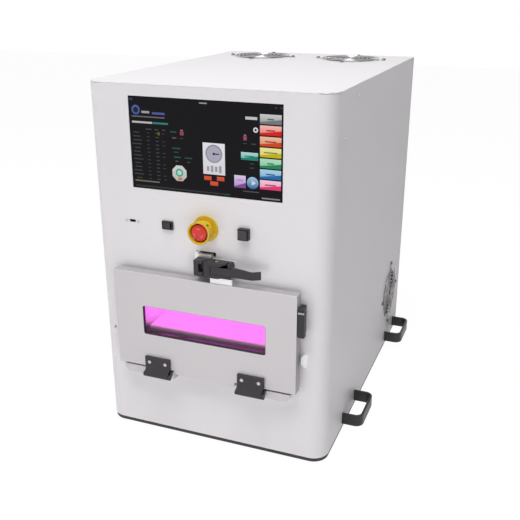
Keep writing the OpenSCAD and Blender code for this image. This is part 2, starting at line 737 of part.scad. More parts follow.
module upper_electrode() recentre() color([0.8, 0.8, 0.82]) {
    translate([-chamber_w / 2 + 20, 25, upper_z]) cube([chamber_w - 40, chamber_d - 50, electrode_t]);
    translate([feed_x, feed_y, upper_z]) cylinder(h = chamber_top + 20 - upper_z, r = 3, $fn = 24);
}

module lower_electrode() recentre() color([0.78, 0.78, 0.8])
    translate([-chamber_w / 2 + 15, 15, lower_z]) cube([chamber_w - 30, chamber_d - 30, electrode_t]);

module electrode_insulators() recentre() color([0.92, 0.92, 0.9])
    for (s = [-1, 1], y = [0.2, 0.8]) translate([s * chamber_w * 0.31, y * chamber_d, 0]) {
        translate([0, 0, chamber_floor])
            cylinder(h = lower_z - chamber_floor, r = pillar_r, $fn = 32);
        translate([0, 0, upper_z + electrode_t]) cylinder(h = upper_gap, r = pillar_r, $fn = 32);
    }

unit_wall = 1.5;          // sheet of the bought units' housings

// A sheet housing whose rear is open
module housing(w, d, h, wall = unit_wall) difference() {
    cube([w, d, h]);
    translate([wall, wall, wall]) cube([w - 2 * wall, d, h - 2 * wall]);
}

cradle_post = 30;
cradle_beam = 20;
cradle_front = 60;        // from the front panel to the first pair of posts
cradle_rear = 46;         // from the second pair's front to the chamber's rear
cradle_in = 5;            // posts' middle inside the chamber's edge

module chamber_cradle() recentre() color([0.6, 0.6, 0.6])
    for (y = [cradle_front, chamber_d - cradle_rear]) {
        under = chamber_floor - chamber_wall;
        for (s = [-1, 1])
            translate([s * (chamber_w / 2 - cradle_in) - cradle_post / 2, y, shell_z])
                cube([cradle_post, cradle_post, under - shell_z]);
        translate([cradle_in - chamber_w / 2, y, under - cradle_beam])
            cube([chamber_w - 2 * cradle_in, cradle_post, cradle_beam]);
    }

unit_sink = 0.1;          // how far a part inside a housing is let into its floor
unit_gap = 15;            // between the parts inside a housing and its walls
generator_w = 220;
generator_d = 320;
generator_fill = 0.67;    // of the room under the cradle's beams
generator_left = -105;
generator_y = 60;
fin_t = 4;
fin_step = 30;
fin_rows = 6;
block_d = 40;
supply_w = 115;
supply_d = 200;
supply_h = 52;
supply_in = 25;           // from the cabinet's left side
supply_back = 47;         // and from its rear

// Power blocks at the front, cooling fins behind them
module rf_generator() recentre() color([0.5, 0.5, 0.52]) {
    generator_h = (chamber_floor - chamber_wall - cradle_beam - shell_z) * generator_fill;
    fin_h = generator_h * 2 / 3;
    fins_y = block_d + 2 * unit_gap;
    translate([generator_left, generator_y, shell_z]) {
        housing(generator_w, generator_d, generator_h);
        translate([unit_gap, unit_gap, unit_wall - unit_sink])
            cube([generator_w - 2 * unit_gap, block_d, fin_h]);
        for (k = [0:fin_rows - 1])
            translate([2 * unit_gap + k * fin_step, fins_y, unit_wall - unit_sink])
                cube([fin_t, generator_d - fins_y - unit_gap, fin_h]);
    }
}

module power_supply() recentre() color([0.65, 0.65, 0.66])
    translate([supply_in - body_w / 2, body_d - supply_back - supply_d, shell_z]) {
        housing(supply_w, supply_d, supply_h);
        translate([unit_gap, 2 * unit_gap, unit_wall - unit_sink])
            cube([supply_w / 2, supply_d / 3, supply_h - unit_gap]);
    }

match_w = 160;
match_d = 140;
match_h = 88;
coil_r = 24;

module rf_match_box() recentre() color([0.55, 0.55, 0.57])
    translate([feed_x - match_w / 2, feed_y - match_d / 2, chamber_top]) {
        difference() {
            housing(match_w, match_d, match_h);
            translate([match_w / 2, match_d / 2, -bite]) cylinder(h = 30, r = 12, $fn = 40);
        }
        for (s = [-1, 1]) translate([match_w / 2 + s * match_w / 4, match_d / 2, unit_wall - unit_sink])
            cylinder(h = match_h - 2 * unit_gap, r = coil_r, $fn = 48);
    }

board_x = 40;
board_w = 150;
board_h = 220;
board_rise = 366;
board_post = 10;

module control_board() recentre() color([0.05, 0.3, 0.15]) {
    translate([board_x, body_d - sheet_t - board_post - 1.6, shell_z + board_rise])
        cube([board_w, 1.6, board_h]);
    for (x = [8, board_w - 8], z = [8, board_h - 8])
        translate([board_x + x, 0, shell_z + board_rise + z])
            rod_y(body_d - sheet_t - board_post, board_post, 3, $fn = 24);
}

valve_y = 430;
valve_d = 70;
valve_w = 60;
valve_drive_h = 60;
port_flange_r = port_r + 7;
port_flange_t = 8;
port_mouth_d = 12;        // depth of the recess for a centring ring

// Two tubes: chamber to valve, and valve to the port on the rear panel
module vacuum_tubes() recentre() color([0.75, 0.75, 0.76]) translate([0, 0, chamber_mid]) difference() {
    union() {
        rod_y(chamber_back, valve_y - chamber_back, port_tube_r, $fn = 48);
        rod_y(valve_y + valve_d, body_d + port_reach - valve_y - valve_d, port_tube_r, $fn = 48);
        for (y = [chamber_back, valve_y - port_flange_t, valve_y + valve_d,
                  body_d + port_reach - port_flange_t])
            rod_y(y, port_flange_t, port_flange_r, $fn = 48);
    }
    rod_y(chamber_back - bite, body_d, port_r - 1, $fn = 48);
    rod_y(body_d + port_reach - port_mouth_d, port_mouth_d + bite, port_r, $fn = 48);
}

module vacuum_valve() recentre() color([0.6, 0.6, 0.62]) difference() {
    union() {
        translate([-valve_w / 2, valve_y, chamber_mid - valve_w / 2])
            cube([valve_w, valve_d, valve_w]);
        translate([0, valve_y + valve_d / 2, chamber_mid + valve_w / 2 - bite])
            cylinder(h = valve_drive_h, r = valve_w / 3, $fn = 48);
    }
    translate([0, 0, chamber_mid]) rod_y(valve_y - bite, valve_d + 2 * bite, port_r - 1, $fn = 48);
}

module pressure_gauge() recentre() color([0.7, 0.7, 0.7]) translate([gauge_x, gauge_y, chamber_top]) {
    cylinder(h = 18, r = 8, $fn = 32);
    translate([0, 0, 17]) cylinder(h = 60, r = 15, $fn = 48);
}

fitting_in = 24;          // length of a gas fitting inside the rear panel
fitting_out = 16;         // and outside it
gas_tube_r = 3.15;

module gas_fittings() recentre() color([0.75, 0.7, 0.5])
    for (s = [-1, 1]) translate([gas_x + s * gas_pitch / 2, 0, gas_z]) difference() {
        union() {
            rod_y(body_d - sheet_t - fitting_in, fitting_in + sheet_t + fitting_out, gas_stub_r);
            for (y = [body_d - sheet_t - 6, body_d]) rod_y(y, 6, 9.5, $fn = 6);
        }
        rod_y(body_d - 8, fitting_out + 8 + bite, gas_bore_r);
        rod_y(body_d - sheet_t - fitting_in, fitting_in + fitting_out, gas_bore_r - 1);
        rod_y(body_d - sheet_t - fitting_in - bite, 12 + bite, gas_tube_r + fit);
    }

flow_w = 38;
flow_d = 127;
flow_h = 118;

module gas_controllers() recentre() color([0.6, 0.62, 0.65])
    for (s = [-1, 1]) translate([gas_x + s * gas_pitch / 2 - flow_w / 2, 60, chamber_top])
    {
        housing(flow_w, flow_d, flow_h);
        translate([0, flow_d - 30, gas_z - chamber_top - 15]) cube([flow_w, 30, 30]);
    }

module gas_tubes() recentre() color([0.8, 0.8, 0.8])
    for (s = [-1, 1]) translate([gas_x + s * gas_pitch / 2, 0, gas_z])
        rod_y(60 + flow_d, body_d - sheet_t - fitting_in + 11 - 60 - flow_d, gas_tube_r);

inlet_plate_t = 2.5;
inlet_in = 24;
inlet_hole_w = 24;
inlet_hole_h = 17;
inlet_hole_d = 18;

module mains_inlet() recentre() color([0.05, 0.05, 0.05]) translate([inlet_x, 0, inlet_z]) {
    difference() {
        union() {
            upright(body_d, inlet_plate_t) rounded_rect(inlet_w + 20, inlet_h + 3, 3);
            upright(body_d - inlet_in, inlet_in + bite) square([inlet_w, inlet_h], center = true);
        }
        upright(body_d + inlet_plate_t - inlet_hole_d, inlet_hole_d + bite)
            square([inlet_hole_w, inlet_hole_h], center = true);
        for (s = [-1, 1]) translate([s * (inlet_w / 2 + 6), 0, 0])
            rod_y(body_d - bite, inlet_plate_t + 2 * bite, small_screw_r + fit, $fn = 24);
    }
    for (p = [[-7, -0.5], [7, -0.5], [0, 4.5]]) translate([p[0] - 1, 0, p[1] - 2])
        translate([0, body_d + inlet_plate_t - inlet_hole_d - bite, 0]) cube([2, 13, 4]);
}

// ---------------------------------------------------------------- door

pane_lap = 10;            // the pane reaches this far past the window on every side
pane_back = door_front + 14;
pane_front = pane_back - pane_t;
frame_lap = 18;           // and so does the retainer
frame_open = 5;           // and its opening
frame_t = door_back - 1 - pane_back;
window_mid = window_z + window_h / 2;
window_r = 4;
retainer_screw_in = 5;

module window_outline(lap) translate([0, window_mid])
    rounded_rect(window_w + 2 * lap, window_h + 2 * lap, window_r);

module retainer_screw_places() for (x = [-1, 0, 1], z = [-1, 1])
    translate([x * (window_w / 2 + frame_lap - retainer_screw_in), 0,
        window_mid + z * (window_h / 2 + frame_lap - retainer_screw_in)]) children();

module hinge_screw_places() both_sides() for (s = [-1, 1])
    translate([hinge_pitch + s * hinge_screw_pitch / 2, 0, door_z + hinge_screw_rise]) children();

module door_plate() recentre() color([0.74, 0.735, 0.73]) difference() {
    union() {
        translate([-door_w / 2, door_front, door_z]) cube([door_w, door_t, door_h]);
        translate([-tongue_w / 2, door_front, door_z - tongue_drop])
            cube([tongue_w, door_t, tongue_drop + bite]);
    }
    upright(door_front - bite, door_t + 2 * bite) window_outline(0);
    upright(pane_front, door_t) window_outline(pane_lap + slip);
    upright(pane_back, door_t) window_outline(frame_lap + slip);
    hinge_screw_places() rod_y(door_front - bite, 10 + bite, hinge_shank_r + fit, $fn = 24);
}

module window_pane() recentre() color([0.75, 0.6, 0.75, 0.5])
    upright(pane_front, pane_t) window_outline(pane_lap);

module window_retainer() recentre() color([0.5, 0.5, 0.5]) difference() {
    upright(pane_back, frame_t) difference() {
        window_outline(frame_lap);
        window_outline(frame_open);
    }
    retainer_screw_places() rod_y(pane_back - bite, frame_t + 2 * bite, small_screw_r + fit, $fn = 24);
}

// Screws of the hinge leaves and of the window's retainer
module door_screws() recentre() color([0.8, 0.8, 0.8]) {
    hinge_screw_places() {
        rod_y(door_front - hinge_leaf_t - 0.5, 2, hinge_head_r, $fn = 32);
        rod_y(door_front - hinge_leaf_t, hinge_leaf_t + 9, hinge_shank_r, $fn = 24);
    }
    retainer_screw_places() translate([0, pane_back + frame_t, 0]) rotate([-90, 0, 0])
        screw(small_head_r - 0.3, 0.6, small_screw_r, frame_t);
}

hinge_head_r = 3.25;
hinge_shank_r = 2;
hinge_screw_rise = 11.7;
hinge_knuckle = hinge_leaf_w / 2 - 2;        // half length of the door leaf's knuckle
hinge_half = hinge_leaf_w / 2 + 2;           // half length of the whole hinge
hinge_seat = hinge_z + 6;                    // underside of the fixed leaf
hinge_sink = 2.5;                            // how deep it lies in its block
hinge_block_top = hinge_seat + hinge_sink;
hinge_fixed_top = hinge_seat + hinge_leaf_t;
gusset_top = door_z + 2;                     // where the door leaf starts to slope outwards
hinge_fixed_front = door_front + 0.5;
hinge_fixed_back = -4;
hinge_leaf_mid = hinge_fixed_back - 10;
block_chamfer = 8;

module hinge_places() for (s = [-1, 1]) translate([s * hinge_pitch, 0, 0]) children();

module hinge_blocks() recentre() color([0.74, 0.735, 0.73]) both_sides() difference() {
    upright(door_front + 2, -door_front - 2) polygon([
        [tongue_w / 2 + 1, hinge_block_top - hinge_block_h],
        [hinge_pitch + hinge_half + hinge_block_out - block_chamfer, hinge_block_top - hinge_block_h],
        [hinge_pitch + hinge_half + hinge_block_out, hinge_block_top - hinge_block_h + block_chamfer],
        [hinge_pitch + hinge_half + hinge_block_out, hinge_block_top],
        [tongue_w / 2 + 1, hinge_block_top]]);
    translate([hinge_pitch - hinge_half - slip, door_front, hinge_seat])
        cube([2 * hinge_half + 2 * slip, hinge_fixed_back + slip - door_front, hinge_sink + bite]);
    for (s = [-1, 1])
        translate([hinge_pitch + s * hinge_screw_pitch / 2, hinge_leaf_mid, hinge_seat - 8])
            cylinder(h = 8 + bite, r = hinge_shank_r + fit, $fn = 24);
}

// The door leaf's front slopes down to touch the barrel
module gusset() {
    out = hinge_out - hinge_leaf_t;              // leaf's front face from the hinge axis
    up = gusset_top - hinge_z;
    touch = atan2(up, out) + acos(hinge_r / sqrt(out * out + up * up));
    rotate([90, 0, 90]) linear_extrude(2 * hinge_knuckle) polygon([
        [hinge_y + out, gusset_top],
        [hinge_y + hinge_r * cos(touch), hinge_z + hinge_r * sin(touch)],
        [hinge_y, hinge_z], [door_front, hinge_z], [door_front, gusset_top]]);
}

module hinge_door_leaves() recentre() color([0.2, 0.17, 0.2]) difference() {
    hinge_places() {
        translate([-hinge_leaf_w / 2, door_front - hinge_leaf_t, door_z - 0.5])
            cube([hinge_leaf_w, hinge_leaf_t, hinge_leaf_h]);
        translate([-hinge_knuckle, 0, 0]) gusset();
        translate([0, hinge_y, hinge_z]) rod_x(-hinge_knuckle, 2 * hinge_knuckle, hinge_r, $fn = 48);
    }
    hinge_places() translate([0, hinge_y, hinge_z])
        rod_x(-hinge_knuckle - bite, 2 * hinge_knuckle + 2 * bite, hinge_pin_r + fit, $fn = 48);
    hinge_screw_places() {
        rod_y(door_front - hinge_leaf_t - bite, bite + 1.5, hinge_head_r + fit, $fn = 32);
        rod_y(door_front - hinge_leaf_t - bite, hinge_leaf_t + 2 * bite, hinge_shank_r + fit, $fn = 24);
    }
}

module hinge_fixed_leaves() recentre() color([0.22, 0.19, 0.22]) difference() {
    hinge_places() {
        translate([-hinge_half, hinge_fixed_front, hinge_seat])
            cube([2 * hinge_half, hinge_fixed_back - hinge_fixed_front, hinge_leaf_t]);
        for (x = [-hinge_half, hinge_knuckle + slip]) translate([x, 0, 0]) {
            translate([0, hinge_y, hinge_z])
                rod_x(0, hinge_half - hinge_knuckle - slip, hinge_r, $fn = 48);
            rotate([90, 0, 90]) linear_extrude(hinge_half - hinge_knuckle - slip) polygon([
                [hinge_y, hinge_z + hinge_r], [hinge_y + 3, hinge_z + hinge_r],
                [hinge_fixed_front, hinge_fixed_top], [hinge_fixed_front + 1.5, hinge_fixed_top],
                [hinge_fixed_front + 1.5, hinge_seat - 3], [hinge_y + hinge_r - 0.5, hinge_z]]);
        }
    }
    hinge_places() translate([0, hinge_y, hinge_z])
        rod_x(-hinge_half - bite, 2 * hinge_half + 2 * bite, hinge_pin_r + fit, $fn = 48);
    hinge_places() for (s = [-1, 1]) translate([s * hinge_screw_pitch / 2, hinge_leaf_mid, 0]) {
        translate([0, 0, hinge_seat - bite])
            cylinder(h = hinge_leaf_t + 2 * bite, r = hinge_shank_r + fit, $fn = 24);
        translate([0, 0, hinge_fixed_top - 2.5]) cylinder(h = 3.5, r = hinge_head_r + fit, $fn = 32);
    }
}

module hinge_pins() recentre() color([0.6, 0.6, 0.6]) hinge_places()
    translate([0, hinge_y, hinge_z]) rod_x(-hinge_half, 2 * hinge_half, hinge_pin_r, $fn = 48);

// ---------------------------------------------------------------- latch

latch_left = 6.5;
latch_right = latch_left + latch_len;
latch_front = door_front - 3;
latch_rear = door_back - 4;
latch_top = latch_z + latch_h;
latch_skew = 10;          // the parting between keeper and body runs this far to the right
latch_part = 2.4;         // and is this wide
lever_x = latch_left + 21.5;
lever_y = door_front + 6;
lever_z = latch_z + 6.5;
blade_front = latch_front + 0.3;
blade_left = 8.5;         // reach of the blade past the pivot, to the left
blade_swing = norm([blade_left, lever_y - blade_front]);
arm_root = latch_right + 2;                   // the lever's arm is tallest here
arm_end = latch_right + lever_reach - 6;      // and as tall as the blade from here on
arm_rise = 4;
cam_r = lever_y - blade_front - 0.5;
web_t = 2;
keeper_left = -12.5;
strap_left = keeper_left - 5;
strap_w = 23.5;
plate_t = 2.5;
tongue_t = 5;
slot_floor = slot_z - slot_h / 2;

// A shelf in the keeper's front takes the tongue of a key or a seal
module latch_keeper() recentre() color([0.2, 0.17, 0.2])
    translate([0, 0, latch_z + 0.4]) difference() {
        linear_extrude(latch_h - 0.4) polygon([
            [keeper_left, latch_front + 0.5], [latch_left - latch_part, latch_front + 0.5],
            [latch_left + latch_skew - latch_part, latch_rear], [keeper_left, latch_rear]]);
        translate([latch_left - latch_part - 7.5, latch_front - bite, 8])
            cube([latch_len, 11, latch_h - 14]);
    }

// Plate behind the keeper, tongue through the panel's slot and leg down to the chamber
module keeper_bracket() recentre() color([0.8, 0.8, 0.81]) {
    leg_y = sheet_t + slip;
    back_y = 9.5;
    jog_z = chamber_mid + flange_h / 2 + 3;
    tongue_z = slot_floor + slip;
    plate_z = latch_z - 6;
    rib_w = 5.5;              // upright side of the tongue
    foot_len = 20;            // on the chamber's top
    translate([strap_left, latch_rear, plate_z]) cube([strap_w, plate_t, tongue_z + 1 - plate_z]);
    translate([strap_left, latch_rear, tongue_z])
        cube([slot_w - 8, leg_y + plate_t - latch_rear, tongue_t]);
    translate([strap_left, latch_rear, tongue_z])
        cube([rib_w, leg_y + plate_t - latch_rear, slot_h - 2 * slip]);
    translate([strap_left, leg_y, jog_z]) cube([strap_w, plate_t, tongue_z + plate_t - jog_z]);
    translate([strap_left, leg_y, jog_z]) cube([strap_w, back_y + plate_t - leg_y, plate_t]);
    translate([strap_left, back_y, chamber_top])
        cube([strap_w, plate_t, jog_z + plate_t - chamber_top]);
    translate([strap_left, back_y, chamber_top]) cube([strap_w, foot_len, plate_t]);
}

// Front block, foot on the door's top edge and plate behind the latch
module latch_bracket() recentre() color([0.8, 0.8, 0.81]) {
    stand_x = latch_left + 10;
    stand_y = door_front + 2;
    stand_w = latch_len - 10;
    stand_t = 5;
    translate([stand_x, stand_y, door_top]) cube([stand_w, stand_t, latch_stand]);
    translate([stand_x, stand_y, door_top]) cube([stand_w, latch_rear + web_t - stand_y, web_t]);
    translate([stand_x, latch_rear, door_top]) cube([stand_w, web_t, latch_stand + latch_h]);
}

// Seen from the front the body narrows to the right, above and below the lever
module latch_body() recentre() color([0.2, 0.17, 0.2]) difference() {
    intersection() {
        translate([0, 0, latch_z]) linear_extrude(latch_h) polygon([
            [latch_left, latch_front], [latch_right, latch_front], [latch_right, latch_rear],
            [latch_left + latch_skew, latch_rear]]);
        upright(latch_front - bite, latch_rear - latch_front + 2 * bite) polygon([
            [latch_left - bite, latch_z - bite], [latch_left + 26, latch_z - bite],
            [latch_left + 26, latch_z], [latch_right - 11, latch_z + 4],
            [latch_right + bite, latch_z + 4.5], [latch_right + bite, latch_top - 6],
            [latch_right, latch_top - 6],
            [latch_right - 3, latch_top + bite],
            [latch_left - bite, latch_top + bite]]);
    }
    translate([lever_x - blade_left - slip, latch_front - bite, lever_z - slip])
        cube([latch_len, latch_rear - latch_front, lever_h + 2 * slip]);
    intersection() {
        translate([lever_x, lever_y, lever_z - slip])
            cylinder(h = lever_h + 2 * slip, r = blade_swing + 0.5, $fn = 64);
        translate([latch_left, latch_front - bite, latch_z])
            cube([latch_len, latch_rear - latch_front, latch_h]);
    }
    upright(latch_front - bite, 10 + bite) polygon([
        [lever_x + 5.5, lever_z + lever_h - slip], [lever_x + 22, latch_top + bite],
        [lever_x + 24.5, latch_top + bite], [lever_x + 24.5, lever_z + lever_h - slip]]);
    translate([lever_x, lever_y, latch_z - bite])
        cylinder(h = latch_h + 2 * bite, r = lever_pin_r + fit, $fn = 40);
}

module latch_pin() recentre() color([0.75, 0.75, 0.76])
    translate([lever_x, lever_y, latch_z]) cylinder(h = latch_h, r = lever_pin_r, $fn = 40);

// The blade in plan: straight from the pivot, then mitred at the bend and back to the panel
module lever_plan() {
    bend_x = latch_right + lever_reach - lever_x;
    mid = blade_front - lever_y + lever_t / 2;
    half = lever_t / 2;
    mitre = half * tan(lever_bend / 2);
    tip_x = bend_x + lever_tip * cos(lever_bend);
    tip_y = mid + lever_tip * sin(lever_bend);
    polygon([
        [-blade_left, mid - half], [bend_x + mitre, mid - half],
        [tip_x + half * sin(lever_bend), tip_y - half * cos(lever_bend)],
        [tip_x - half * sin(lever_bend), tip_y + half * cos(lever_bend)],
        [bend_x - mitre, mid + half], [-blade_left, mid + half]]);
    circle(cam_r, $fn = 56);
}

module latch_lever() recentre() color([0.25, 0.22, 0.25]) difference() {
    union() {
        translate([lever_x, lever_y, lever_z]) linear_extrude(lever_h) lever_plan();
        translate([0, 0, lever_z + lever_h]) upright(blade_front, lever_t) polygon([
            [arm_root, -bite], [arm_root, arm_rise], [arm_end, 0], [arm_end, -bite]]);
    }
    translate([lever_x, lever_y, lever_z - bite])
        cylinder(h = lever_h + 2 * bite, r = lever_pin_r + fit, $fn = 40);
}

sensor_w = 11.5;
sensor_h = 54;
sensor_d = 10;            // depth of the switch itself
sensor_foot_w = 7.5;
sensor_front = door_front + 1.5;
sensor_x = door_w / 2 + 1.25;
sensor_rise = 111.3;      // from the door's lower edge
sensor_z = door_z + sensor_rise;
sensor_screw_z = sensor_z + sensor_h - 8.5;
sensor_screw_in = 2;
sensor_screw_pitch = 3.7;
sensor_screw_r = 1.1;
sensor_screws = [for (k = [0:2]) sensor_x + sensor_screw_in + k * sensor_screw_pitch];
sensor_groove_drop = 4.6;  // from the top
sensor_groove_w = 1;
sensor_groove_d = 0.8;
sensor_foot_in = 2;        // the foot is this much shorter at both ends
tab_t = 1.2;
tab_reach = 14;           // of the guide tab out of the panel
tab_w = 7.5;
tab_h = 26;
tab_slope = 13;           // rise of its lower edge towards the front
tab_gap = 5.25;           // between the door and the tab

// Block with a cap across its top; a narrower foot carries it clear of the panel
module door_sensor() recentre() color([0.09, 0.085, 0.09]) difference() {
    union() {
        translate([sensor_x, sensor_front, sensor_z]) cube([sensor_w, sensor_d, sensor_h]);
        translate([sensor_x, sensor_front + sensor_d - bite, sensor_z + sensor_foot_in])
            cube([sensor_foot_w, -sensor_front - sensor_d + bite, sensor_h - 2 * sensor_foot_in]);
    }
    translate([sensor_x - bite, sensor_front - bite, sensor_z + sensor_h - sensor_groove_drop])
        cube([sensor_w + 2 * bite, bite + sensor_groove_d, sensor_groove_w]);
    for (k = [0:2]) translate([sensor_screws[k], 0, sensor_screw_z])
        rod_y(sensor_front - bite, (k < 2 ? -sensor_front : sensor_d - 2) + 2 * bite,
            sensor_screw_r + fit, $fn = 20);
}

// Bent sheet: a foot on the panel and a leg beside the door, cut away below
module guide_tab() recentre() color([0.8, 0.8, 0.8])
    translate([door_w / 2 + tab_gap, 0, door_z + 42.5]) {
        translate([0, -tab_t, 0]) cube([tab_w, tab_t, tab_h]);
        rotate([90, 0, 90]) linear_extrude(tab_t) polygon([
            [0, 0], [0, tab_h], [-tab_reach, tab_h + tab_t], [-tab_reach, tab_slope], [-tab_t, 0]]);
    }

// ---------------------------------------------------------------- fans

duct_r = fan_side / 2 - 3;
hub_r = 19;
fan_pin_r = 2;
blade_count = 7;
blade_tilt = 35;

// A fan's own zero is the middle of its outer face; it hangs down from there
module fan_places() {
    for (s = [-1, 1]) translate([s * fan_pitch, fan_top_y, wall_top]) children();
    translate([inner_x, fan_side_y, fan_z]) rotate([0, 90, 0]) children();
}

module fan_frame() {
    difference() {
        rotate(45) translate([0, 0, -fan_t]) linear_extrude(fan_t) rounded_rect(fan_side, fan_side, 6);
        translate([0, 0, -fan_t - bite]) cylinder(h = fan_t + 2 * bite, r = duct_r, $fn = 96);
        for (a = [0:90:270]) rotate(a) translate([fan_bolt_r, 0, -fan_t - bite])
            cylinder(h = fan_t + 2 * bite, r = bolt_hole_r, $fn = 24);
    }
    translate([0, 0, -fan_t]) {
        cylinder(h = 5, r = hub_r, $fn = 56);
        cylinder(h = fan_t - 3, r = fan_pin_r, $fn = 24);
        for (a = [20:90:290]) rotate(a) translate([hub_r - bite, -2.5, 0])
            cube([duct_r - hub_r + 2 * bite, 5, 4]);
    }
}

module fan_rotor() {
    blade_len = duct_r - 3 - hub_r;
    difference() {
        union() {
            translate([0, 0, -fan_t + 6.5]) cylinder(h = fan_t - 8.5, r = hub_r, $fn = 56);
            for (k = [0:blade_count - 1]) rotate(k * 360 / blade_count)
                translate([hub_r + blade_len / 2 - bite, 0, 1.75 - fan_t / 2])
                    rotate([blade_tilt, 0, 0]) cube([blade_len + 2 * bite, 21, 1.8], center = true);
        }
        translate([0, 0, -fan_t]) cylinder(h = fan_t, r = fan_pin_r + fit, $fn = 24);
    }
}

module fan_frames() recentre() color([0.12, 0.12, 0.13]) fan_places() fan_frame();

module fan_rotor_left() recentre() color([0.15, 0.15, 0.16])
    translate([-fan_pitch, fan_top_y, wall_top]) fan_rotor();

module fan_rotor_right() recentre() color([0.15, 0.15, 0.16])
    translate([fan_pitch, fan_top_y, wall_top]) fan_rotor();

module fan_rotor_side() recentre() color([0.15, 0.15, 0.16])
    translate([inner_x, fan_side_y, fan_z]) rotate([0, 90, 0]) fan_rotor();

eye_r = 3.2;
guard_outer_r = fan_hole_r + 6;
guard_rings = 7;

// Rings welded on four spokes that end in the screws' eyes
module fan_guard() {
    for (k = [0:guard_rings - 1]) translate([0, 0, 2 * guard_rib_r + 0.7 * guard_wire_r])
        rotate_extrude($fn = 96) translate([guard_outer_r - k * guard_step, 0])
            circle(guard_wire_r, $fn = 16);
    for (a = [0:90:270]) rotate(a) {
        translate([0, 0, guard_rib_r]) rod_x(8, fan_bolt_r - eye_r - 8, guard_rib_r, $fn = 20);
        translate([fan_bolt_r, 0, guard_rib_r]) rotate_extrude($fn = 40) translate([eye_r, 0])
            circle(guard_rib_r, $fn = 16);
    }
}

module fan_guards() recentre() color([0.8, 0.8, 0.8])
    translate([0, 0, sheet_t]) {
        for (s = [-1, 1]) translate([s * fan_pitch, fan_top_y, wall_top]) fan_guard();
        translate([inner_x + sheet_t, fan_side_y, fan_z - sheet_t]) rotate([0, 90, 0]) fan_guard();
    }

wrap_shell();
top_cover();
rear_panel();
base_plate();
rubber_feet();
case_screws();
handle_right_front();
handle_right_rear();
handle_left_front();
handle_left_rear();
handle_nuts();
display_glass();
display_module();
usb_socket();
estop_shroud();
estop_stem();
estop_head();
power_switch_body();
power_rocker();
start_bezel();
start_cap();
switch_blocks();
chamber_body();
chamber_seal();
upper_electrode();
lower_electrode();
electrode_insulators();
chamber_cradle();
rf_generator();
rf_match_box();
power_supply();
control_board();
vacuum_tubes();
vacuum_valve();
pressure_gauge();
gas_fittings();
gas_controllers();
gas_tubes();
mains_inlet();
door_plate();
window_pane();
window_retainer();
hinge_blocks();
hinge_door_leaves();
hinge_fixed_leaves();
hinge_pins();
door_screws();
latch_keeper();
keeper_bracket();
latch_bracket();
latch_body();
latch_pin();
latch_lever();
door_sensor();
guide_tab();
fan_frames();
fan_rotor_left();
fan_rotor_right();
fan_rotor_side();
fan_guards();
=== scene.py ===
import math

import bmesh
import bpy
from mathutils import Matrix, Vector


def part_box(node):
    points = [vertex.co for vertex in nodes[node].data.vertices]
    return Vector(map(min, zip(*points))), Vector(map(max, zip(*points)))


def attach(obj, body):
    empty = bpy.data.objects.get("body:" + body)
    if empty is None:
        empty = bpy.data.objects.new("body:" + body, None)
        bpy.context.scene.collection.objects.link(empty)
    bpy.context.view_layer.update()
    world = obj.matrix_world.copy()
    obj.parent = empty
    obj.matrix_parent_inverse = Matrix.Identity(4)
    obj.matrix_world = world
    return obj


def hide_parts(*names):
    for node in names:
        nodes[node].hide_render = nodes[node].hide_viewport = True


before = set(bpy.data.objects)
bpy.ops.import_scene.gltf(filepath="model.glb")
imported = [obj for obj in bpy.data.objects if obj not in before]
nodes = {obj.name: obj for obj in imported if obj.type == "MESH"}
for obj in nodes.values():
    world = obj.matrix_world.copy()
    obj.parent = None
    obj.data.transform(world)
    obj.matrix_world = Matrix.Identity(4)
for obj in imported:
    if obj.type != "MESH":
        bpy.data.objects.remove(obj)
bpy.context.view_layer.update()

MM = 0.001
UPRIGHT = (math.pi / 2, 0, 0)            # turns a flat plane or disc to face the front
SMOOTH_ANGLE = math.radians(38)          # edges sharper than this stay sharp


# Camera: it stands in front of the right half of the cabinet, a little above its top,
# and looks down and to the left across the front panel and the right side wall.
shell_low, shell_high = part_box("wrap_shell")
panel_foot = Vector((0, shell_low.y, 0))
look_down, look_left = 20.63, 21.27
bpy.ops.object.camera_add(
    location=panel_foot + Vector((520.2, -1079.5, 825.5)) * MM,
    rotation=(math.radians(90 - look_down), 0, math.radians(look_left)),
)
camera = bpy.context.object
camera.name = "camera"
camera.data.lens = 50.4
camera.data.sensor_width = 36
camera.data.clip_start = 0.05
bpy.context.scene.camera = camera
bpy.context.scene.view_settings.view_transform = "Standard"


# Studio: a pale floor and a white surround. Camera, mirror and glass rays see both as
# white, and the floor keeps a soft shadow under the cabinet.
def feed(tree, socket, given):
    """Links another node's output to the socket, or stores a plain value on it."""
    if isinstance(given, bpy.types.NodeSocket):
        tree.links.new(given, socket)
    else:
        socket.default_value = given


def add_node(tree, kind, inputs=(), group=None):
    """A shader node; inputs gives its sockets, each with an output or a plain value."""
    node = tree.nodes.new(kind)
    if group:
        node.node_tree = group
    for name, given in dict(inputs).items():
        feed(tree, node.inputs[name], given)
    return node


def maths(tree, operation, *given):
    """The result of a math node on outputs and plain values, in their order."""
    node = tree.nodes.new("ShaderNodeMath")
    node.operation = operation
    for socket, value in zip(node.inputs, given):
        feed(tree, socket, value)
    return node.outputs[0]


def straight_rays(tree):
    """1 for the rays of the camera, of mirrors and of glass, and 0 for the others."""
    rays = tree.nodes.new("ShaderNodeLightPath").outputs
    seen = maths(tree, "MAXIMUM", rays["Is Camera Ray"], rays["Is Transmission Ray"])
    return maths(tree, "MAXIMUM", seen, rays["Is Glossy Ray"])


